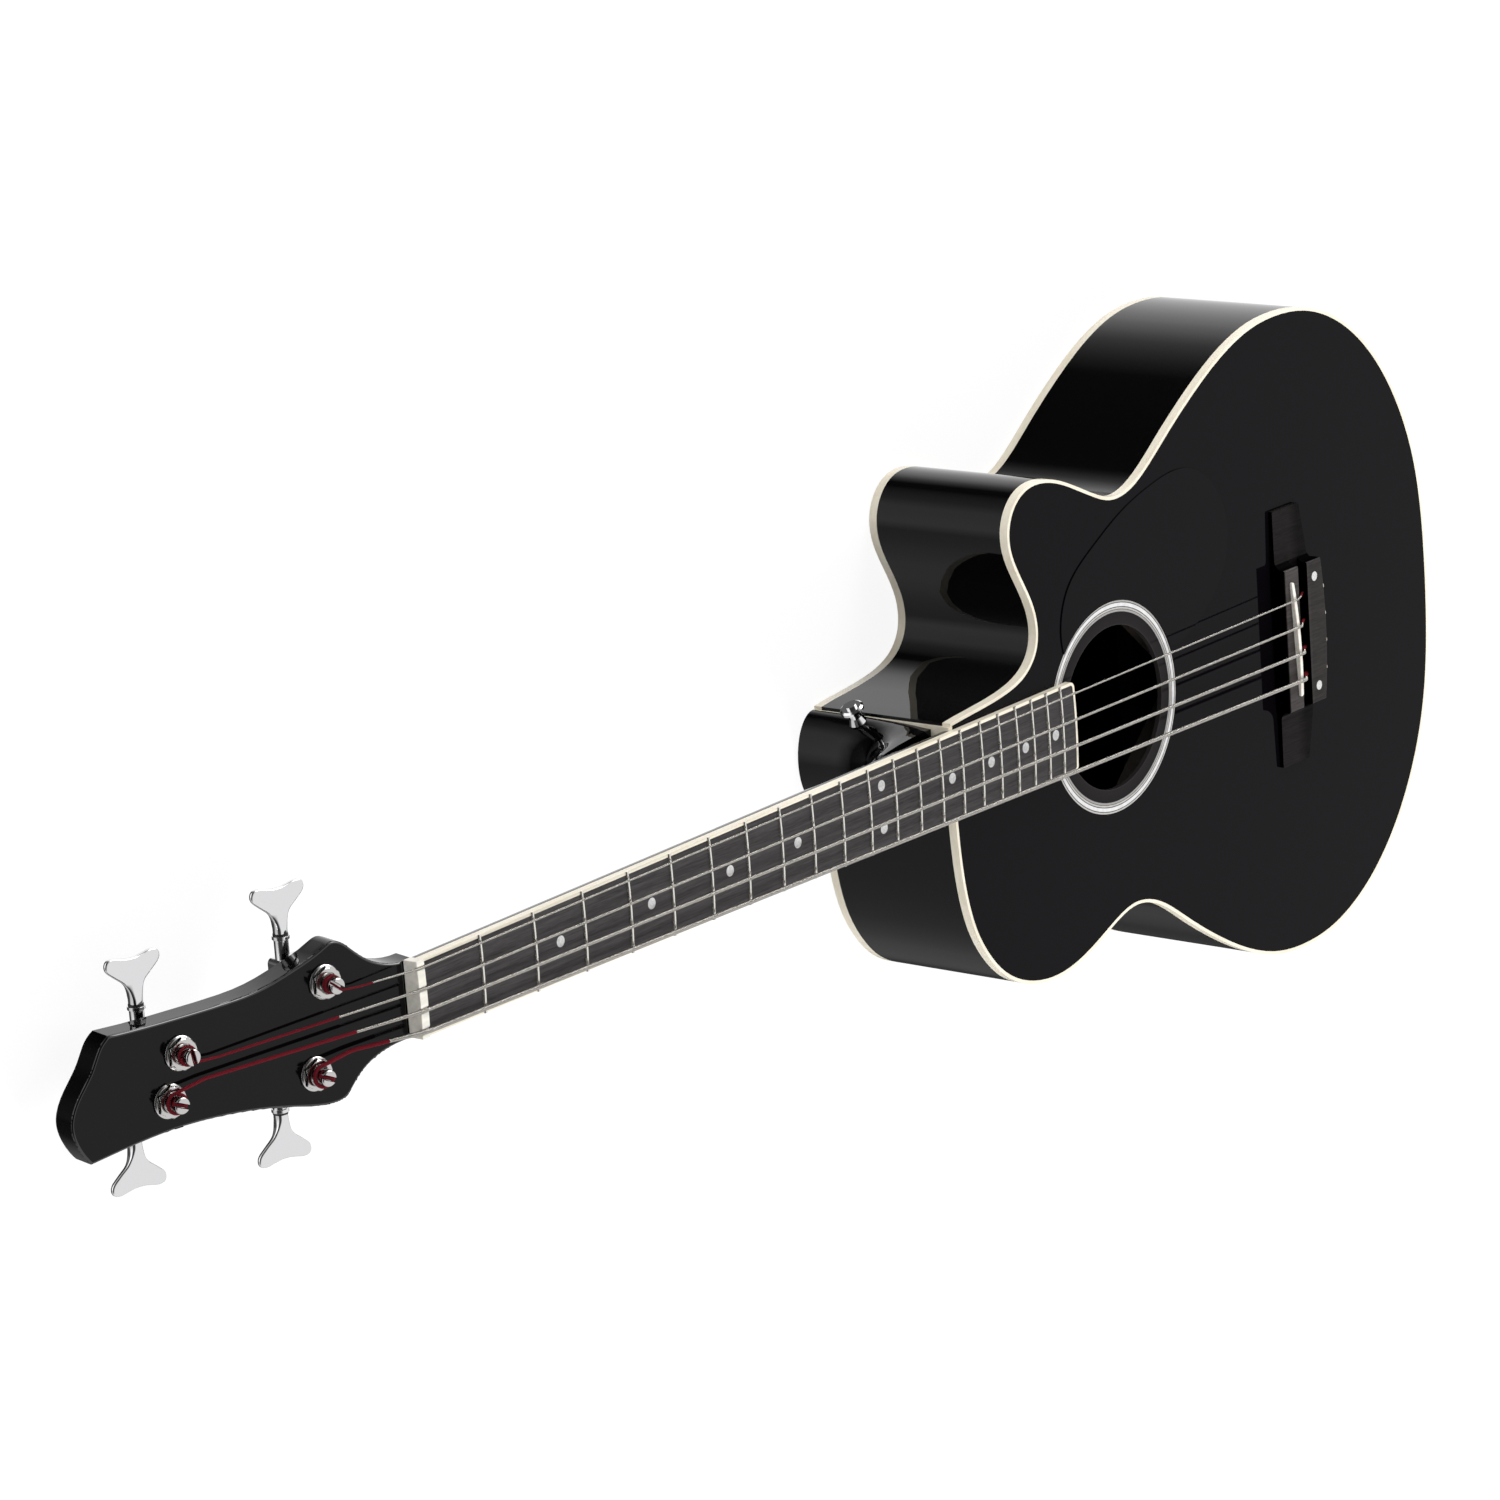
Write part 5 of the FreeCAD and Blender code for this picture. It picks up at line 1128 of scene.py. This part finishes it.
@dataclass
class StringRun:
    """One string from its ball end over saddle and nut and round its post, silk at both ends."""

    name: str
    place: int
    diameter: float
    turns: float
    silk_from_nut: float
    silk_swell: float = 0.06 * MM
    silk_from_saddle: float = 9.2 * MM
    tail_share: float = 0.8
    taper: float = 5.0 * MM
    overlap: float = 2.0 * MM
    scale_length: float = 812.8 * MM
    nut_length: float = 6.0 * MM
    nut_spread: float = 34.6 * MM
    saddle_spread: float = 52.6 * MM
    board_thickness: float = 5.0 * MM
    fret_height: float = 1.1 * MM
    clearance: float = 0.3 * MM
    crown_radius: float = 406.0 * MM
    waist_radius: float = 3.7 * MM
    waist_bottom: float = 4.4 * MM
    turn_gap: float = 0.55 * MM
    saddle_crown: float = 14.0 * MM
    saddle_setback: float = 1.1 * MM
    saddle_width: float = 3.0 * MM
    saddle_slant: float = math.radians(4.0)
    saddle_lean: float = math.radians(10.0)
    ridge: tuple[float, float] = (7.0 * MM, 10.8 * MM)
    ridge_lean: float = math.radians(26.0)
    groove_rear: float = 17.0 * MM
    anchor_height: float = 6.8 * MM
    bridge_rear: float = 36.5 * MM
    belly: float = 3.5 * MM
    half_block: float = 46.0 * MM
    ball_seat: float = 2.2 * MM
    bend_shares: tuple[float, ...] = (1.5, 1.5, 2.0, 10.0, 10.0)

    def across(self, spread: float) -> float:
        """Side place of the string where the outer strings lie a spread apart."""
        return -spread / 2 + self.place * spread / 3

    def drop(self, y: float, radius: float) -> float:
        """Fall of a crowned surface at a side place: r - sqrt(r^2 - y^2)."""
        return radius - math.sqrt(radius ** 2 - y ** 2)

    def over_edge(self, x: float, z: float, y: float, lean: float) -> np.ndarray:
        """Corner of the route that keeps the string clear of an edge it bends over."""
        away = (self.diameter / 2 + self.clearance) / math.cos(lean / 2)
        return np.array([x + away * math.sin(lean), y, z + away * math.cos(lean)])

    def path(self) -> tuple[np.ndarray, float]:
        """Route of the string's middle, in the soundboard's frame.

        It is straight runs joined by arcs, then a helix of steady pitch round the post's waist.

        Returns:
            The points, and the length along them at the nut.
        """
        radius = self.diameter / 2
        nut_y, saddle_y = self.across(self.nut_spread), self.across(self.saddle_spread)
        nut_z = self.board_thickness + self.fret_height + self.clearance + radius
        nut_z -= self.drop(nut_y, self.crown_radius)
        nut = np.array([-self.scale_length - self.nut_length / 2, nut_y, nut_z])
        belly_radius = (self.half_block ** 2 + self.belly ** 2) / (2 * self.belly)
        rear = self.bridge_rear - self.drop(saddle_y, belly_radius)
        anchor = np.array([rear - self.ball_seat, saddle_y, self.anchor_height])
        bend = np.array([self.groove_rear - 0.7 * self.diameter, saddle_y, self.anchor_height])
        ridge = self.over_edge(self.ridge[0], self.ridge[1], saddle_y, self.ridge_lean)
        saddle_x = self.saddle_setback - saddle_y * math.tan(self.saddle_slant)
        saddle_z = self.saddle_crown - self.drop(saddle_y, self.crown_radius)
        saddle = self.over_edge(saddle_x + self.saddle_width / 2, saddle_z, saddle_y,
                                self.saddle_lean)
        helix = self.helix(MACHINES[self.name], nut)
        start = (helix[1] - helix[0]) / np.linalg.norm(helix[1] - helix[0])
        lead = helix[0] - start * self.lead_length()
        corners = [anchor, bend, ridge, saddle, nut, lead, helix[0]]
        radii = [share * self.diameter for share in self.bend_shares]
        arcs = [self.rounded(*turn) for turn in zip(corners, corners[1:], corners[2:], radii)]
        points = np.concatenate([anchor[None, :], *arcs, helix])
        nearest = np.argmin(np.linalg.norm(points - nut, axis=1))
        return points, float(lengths_along(points)[nearest])

    def lead_length(self) -> float:
        """Straight run onto the post."""
        return 4.0 * (self.waist_radius + self.clearance + self.diameter / 2)

    def rounded(self, before: np.ndarray, corner: np.ndarray, after: np.ndarray,
                radius: float) -> np.ndarray:
        """Arc that touches both runs at a corner: start + r (sin a * into + (1 - cos a) * side).

        Args:
            before: where the first run starts.
            corner: where the runs meet.
            after: where the second run ends.
            radius: radius of the arc.

        Returns:
            Eleven points of the arc.
        """
        into = (corner - before) / np.linalg.norm(corner - before)
        out = (after - corner) / np.linalg.norm(after - corner)
        turn = math.acos(float(np.clip(into @ out, -1.0, 1.0)))
        side = out - into * (into @ out)
        side /= np.linalg.norm(side)
        angle = np.linspace(0.0, turn, 11)[:, None]
        start = corner - into * (radius * math.tan(turn / 2))
        return start + radius * (np.sin(angle) * into + (1 - np.cos(angle)) * side)

    def helix(self, machine: Machine, nut: np.ndarray) -> np.ndarray:
        """Winding: centre + R (cos a * U + sin a * V) + h * N, with a and h steady in the turn.

        U runs along the head to the nut, V to the thin-string side and N out of the face.

        Args:
            machine: the machine whose post it winds on.
            nut: where the string leaves the nut.

        Returns:
            Points from where the string meets the post to its end.
        """
        radius = self.waist_radius + self.clearance + self.diameter / 2
        away = nut - machine.centre
        u_axis, v_axis = -machine.to_tip, np.array([0.0, 1.0, 0.0])
        u, v = float(away @ u_axis), float(away @ v_axis)
        touch = math.atan2(v, u) - machine.side * math.acos(radius / math.hypot(u, v))
        wound = np.linspace(0.0, TURN * self.turns, int(32 * self.turns) + 1)[:, None]
        angle = touch - machine.side * wound
        height = self.waist_bottom + self.clearance + self.diameter / 2
        height = height + (self.diameter + self.turn_gap) * wound / TURN
        round_post = radius * (np.cos(angle) * u_axis + np.sin(angle) * v_axis)
        return machine.centre + round_post + height * machine.normal

    def build(self, wire: Material, silk: Material) -> None:
        """Makes the wire and its silk.

        Args:
            wire: finish of the wound wire.
            silk: finish of the silk.
        """
        points, at_nut = self.path()
        points = Lay().level(points)
        bridge_silk = self.bridge_silk_end(points)
        radius = self.diameter / 2
        silk_start = at_nut + self.silk_from_nut
        run = stretch_of(points, 0.5 * bridge_silk, silk_start + self.overlap)
        left = lengths_along(run)[-1] - lengths_along(run)
        full = np.clip(left / self.taper, 0.0, 1.0)
        grid, along = tube(run, radius * (self.tail_share + (1 - self.tail_share) * full))
        piece = make_piece(f"wound_string_{self.name}", [grid], wire, "root",
                           [along])
        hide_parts(f"string_{self.name}")
        end = float(lengths_along(points)[-1])
        thin = radius * self.tail_share + 0.06 * MM
        for label, start, stop, thick in (
                ("head", silk_start, end, thin),
                ("bridge", 0.0, bridge_silk, radius + self.silk_swell)):
            grid, along = tube(stretch_of(points, start, stop), thick)
            make_piece(f"silk_{label}_{self.name}", [grid], silk, "root", [along])

    def bridge_silk_end(self, points: np.ndarray) -> float:
        """Length along the string at which its silk ends between saddle and groove.

        Args:
            points: the string's route in the row frame.

        Returns:
            The length.
        """
        mark = np.array([[self.silk_from_saddle, 0.0, self.anchor_height]])
        passed = points[:, 0] < Lay().level(mark)[0, 0]
        return float(lengths_along(points)[np.argmax(passed)])


STRING_RUNS = (
    StringRun("e", 0, 2.6 * MM, 0.75, 23.1 * MM, silk_swell=0.16 * MM, silk_from_saddle=8.6 * MM),
    StringRun("a", 1, 2.15 * MM, 1.0, 43.6 * MM),
    StringRun("d", 2, 1.65 * MM, 1.25, 53.1 * MM),
    StringRun("g", 3, 1.2 * MM, 1.75, 28.9 * MM),
)


def build_machines(chrome: Material, satin: Material, thread: Material) -> None:
    """Makes the four tuning machines, and their washers and bushings as one piece each.

    Args:
        chrome: finish of the keys.
        satin: finish of posts, washers and bushings.
        thread: finish of the silk.
    """
    diameters = {run.name: run.diameter for run in STRING_RUNS}
    machines = [TuningMachine(at, chrome, satin, thread) for at in MACHINES.values()]
    for machine in machines:
        machine.build()
        machine.thread_tail(diameters[machine.at.name])
    washers = [machine.washer_grid() for machine in machines]
    bushings = [machine.bushing_grid() for machine in machines]
    for name, node, grids in (("domed_washers", "tuner_washers", washers),
                              ("hexagon_bushings", "tuner_bushings", bushings)):
        piece = make_piece(name, grids, satin, "root")
        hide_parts(node)


def face_rim(depth: float, clear: float) -> Callable[[np.ndarray], np.ndarray]:
    """Chooses points near the head's face that lie clear of the posts.

    Args:
        depth: how far under the face they may lie.
        clear: least distance from each post.

    Returns:
        A function that says for each point whether it is chosen.
    """
    posts = np.stack([Lay().level(machine.centre) for machine in MACHINES.values()])
    base = MACHINES["g"]
    normal = Lay().level(base.centre + base.normal) - Lay().level(base.centre)

    def chosen(places: np.ndarray) -> np.ndarray:
        """Says for each point whether it is chosen."""
        away = np.linalg.norm(places[:, None] - posts, axis=2).min(axis=1)
        return ((places - posts[0]) @ normal > -depth) & (away > clear)

    return chosen


def soften_edges(materials: dict[Finish, Material], rim: Material) -> None:
    """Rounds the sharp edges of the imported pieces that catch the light.

    Args:
        materials: finishes by slot.
        rim: finish of the headstock's rounded rim.
    """
    softened("headstock_veneer", materials[Finish.HEAD], 1.2 * MM,
             face_rim(0.2 * MM, 11.0 * MM), rim)
    for name, slot, width in (("saddle", Finish.BONE, 0.5 * MM), ("nut", Finish.BONE, 0.35 * MM),
                              ("tuner_housings", Finish.CHROME, 0.4 * MM),
                              ("tuner_covers", Finish.CHROME, 0.25 * MM)):
        softened(name, materials[slot], width)


@dataclass(frozen=True)
class Studio:
    """Camera, floor, world and lamps; walls are azimuths in degrees with their brightness."""

    camera_at: Colour = (-2.9404, 0.8848, 1.9973)
    camera_right: Colour = (0.6031, -0.0700, 0.7946)
    camera_up: Colour = (0.2475, 0.9630, -0.1034)
    lens: float = 136.93
    dark_side: Colour = (-0.860, 0.380, 0.340)
    dark_level: float = 0.05
    soft_box: Colour = (0.551, 0.721, 0.420)
    soft_box_level: float = 6.0
    walls: tuple[tuple[float, float], ...] = (
        (-180.0, 1.6), (-161.0, 0.75), (-121.0, 0.7), (-81.0, 0.6), (-41.0, 0.08), (-20.0, 0.04),
        (-12.0, 0.9), (0.0, 1.0), (38.0, 1.3), (48.0, 1.1), (58.0, 0.6), (72.0, 0.05),
        (86.0, 0.05), (98.0, 0.3), (118.0, 0.65), (138.0, 1.4), (170.0, 1.6))
    wall_scale: float = 2.0
    fill_level: float = 0.70
    floor_half: float = 30.0
    floor_drop: float = 0.4 * MM
    floor_colour: float = 0.82
    floor_glow: float = 0.88
    floor_shadow_share: float = 0.2
    lamp_aim: Colour = (-0.3, 0.0, 0.1)
    lamps: tuple[tuple[str, Colour, float, float], ...] = (
        ("key_lamp", (0.1, -2.2, 2.4), 1.0, 62.0), ("rim_lamp", (0.5, 2.1, 1.2), 0.9, 26.0))

    def build(self) -> None:
        """Makes them all."""
        self.set_camera()
        self.set_floor()
        self.set_world()
        for name, place, size, power in self.lamps:
            self.set_lamp(name, place, size, power)
        bpy.context.scene.view_settings.view_transform = "Standard"

    def set_camera(self) -> None:
        """Camera at the photograph's place, for its whole square frame."""
        right, up = Vector(self.camera_right).normalized(), Vector(self.camera_up)
        up = (up - right * up.dot(right)).normalized()
        data = bpy.data.cameras.new("photo_camera")
        data.sensor_width, data.lens, data.sensor_fit = 36.0, self.lens, "HORIZONTAL"
        data.clip_start, data.clip_end = 0.05, 200.0
        data.dof.use_dof = False
        camera = bpy.data.objects.new("photo_camera", data)
        turn = Matrix((right, up, right.cross(up))).transposed().to_4x4()
        camera.matrix_world = Matrix.Translation(self.camera_at) @ turn
        bpy.context.scene.collection.objects.link(camera)
        bpy.context.scene.camera = camera

    def set_floor(self) -> None:
        """Wide white floor that keeps the shadow but shows as white where nothing shades it.

        Shiny pieces don't mirror it: they see the room behind it.
        """
        half = self.floor_half
        mesh = bpy.data.meshes.new("floor")
        corners = [(-half, -half, 0.0), (half, -half, 0.0), (half, half, 0.0), (-half, half, 0.0)]
        mesh.from_pydata(corners, [], [(0, 1, 2, 3)])
        floor = bpy.data.objects.new("floor", mesh)
        floor.location.z = -self.floor_drop
        bpy.context.scene.collection.objects.link(floor)
        g = Graph("floor")
        g.tree.nodes.remove(g.shader)
        path = g.add("LightPath").outputs
        full = g.add("BsdfDiffuse", None, Color=grey(self.floor_colour))
        shaded = grey(self.floor_colour * self.floor_shadow_share)
        dim = g.add("BsdfDiffuse", None, Color=shaded)
        glow = g.add("Emission", None, Color=grey(1.0), Strength=self.floor_glow)
        shown = g.add("AddShader", None, i0=dim.outputs[0], i1=glow.outputs[0])
        seen = g.math("MAXIMUM", path["Is Camera Ray"], path["Is Transmission Ray"])
        solid = g.add("MixShader", None, Fac=seen, i1=full.outputs[0], i2=shown.outputs[0])
        past = g.add("BsdfTransparent")
        mix = g.add("MixShader", None, Fac=path["Is Glossy Ray"], i1=solid.outputs[0],
                    i2=past.outputs[0])
        g.feed(g.tree.nodes["Material Output"].inputs["Surface"], mix.outputs[0])
        mesh.materials.append(g.material)

    def set_world(self) -> None:
        """White surroundings where they are seen, even light elsewhere, a room for shiny pieces.

        Below the horizon they mirror pale and dark walls by azimuth. Above it they mirror a white
        room with a dark side and one soft box, each by the cosine of the angle between a
        direction and its middle.
        """
        room = RoomGraph("studio")
        path = room.add("LightPath").outputs
        towards = room.add("TexCoord").outputs["Generated"]
        parts = room.add("SeparateXYZ", None, Vector=towards).outputs
        azimuth = room.math("ARCTAN2", parts["Y"], parts["X"])
        turn = room.math("ADD", room.math("DIVIDE", azimuth, TURN), 0.5)
        stops = [((degrees + 180.0) / 360.0, grey(level / self.wall_scale))
                 for degrees, level in self.walls]
        steep = room.spread(parts["Z"], -0.86, -0.72, 0.2, self.wall_scale)
        below = room.math("MULTIPLY", room.ramp(turn, stops), steep)
        unlit = room.vector("DOT_PRODUCT", towards, self.dark_side)["Value"]
        boxed = room.vector("DOT_PRODUCT", towards, self.soft_box)["Value"]
        above = room.math("ADD", room.spread(unlit, 0.30, 0.62, 1.0, self.dark_level),
                          room.spread(boxed, 0.90, 0.975, 0.0, self.soft_box_level))
        glossy = room.mix(room.spread(parts["Z"], -0.15, 0.05, 0.0, 1.0), below, above)
        level = room.mix(path["Is Glossy Ray"], self.fill_level, glossy)
        level = room.mix(path["Is Camera Ray"], level, 1.0)
        level = room.mix(path["Is Transmission Ray"], level, 1.0)
        room.feed(room.shader.inputs["Strength"], level)
        room.feed(room.shader.inputs["Color"], grey(1.0))

    def set_lamp(self, name: str, place: Colour, size: float, power: float) -> None:
        """Square soft lamp aimed at the middle of the guitar, left out of mirror images.

        Args:
            name: the lamp's name.
            place: where it stands.
            size: its side in metres.
            power: its power in watts.
        """
        data = bpy.data.lights.new(name, "AREA")
        data.size, data.energy = size, power
        lamp = bpy.data.objects.new(name, data)
        aim = Vector(self.lamp_aim) - Vector(place)
        turn = aim.to_track_quat("-Z", "Y").to_matrix().to_4x4()
        lamp.matrix_world = Matrix.Translation(place) @ turn
        lamp.visible_glossy = False
        bpy.context.scene.collection.objects.link(lamp)


def main() -> None:
    """Builds the pieces in order and reports each."""
    logging.basicConfig(level=logging.INFO, format="%(name)s: %(message)s")
    palette = Palette()
    materials = palette.build()
    dress_nodes(materials, palette.bridge())
    wire, silk = palette.wire(), palette.silk()
    for run in STRING_RUNS:
        run.build(wire, silk)
    build_machines(materials[Finish.CHROME], palette.satin(), silk)
    soften_edges(materials, palette.rim())
    Studio().build()


if __name__ == "__main__":
    main()
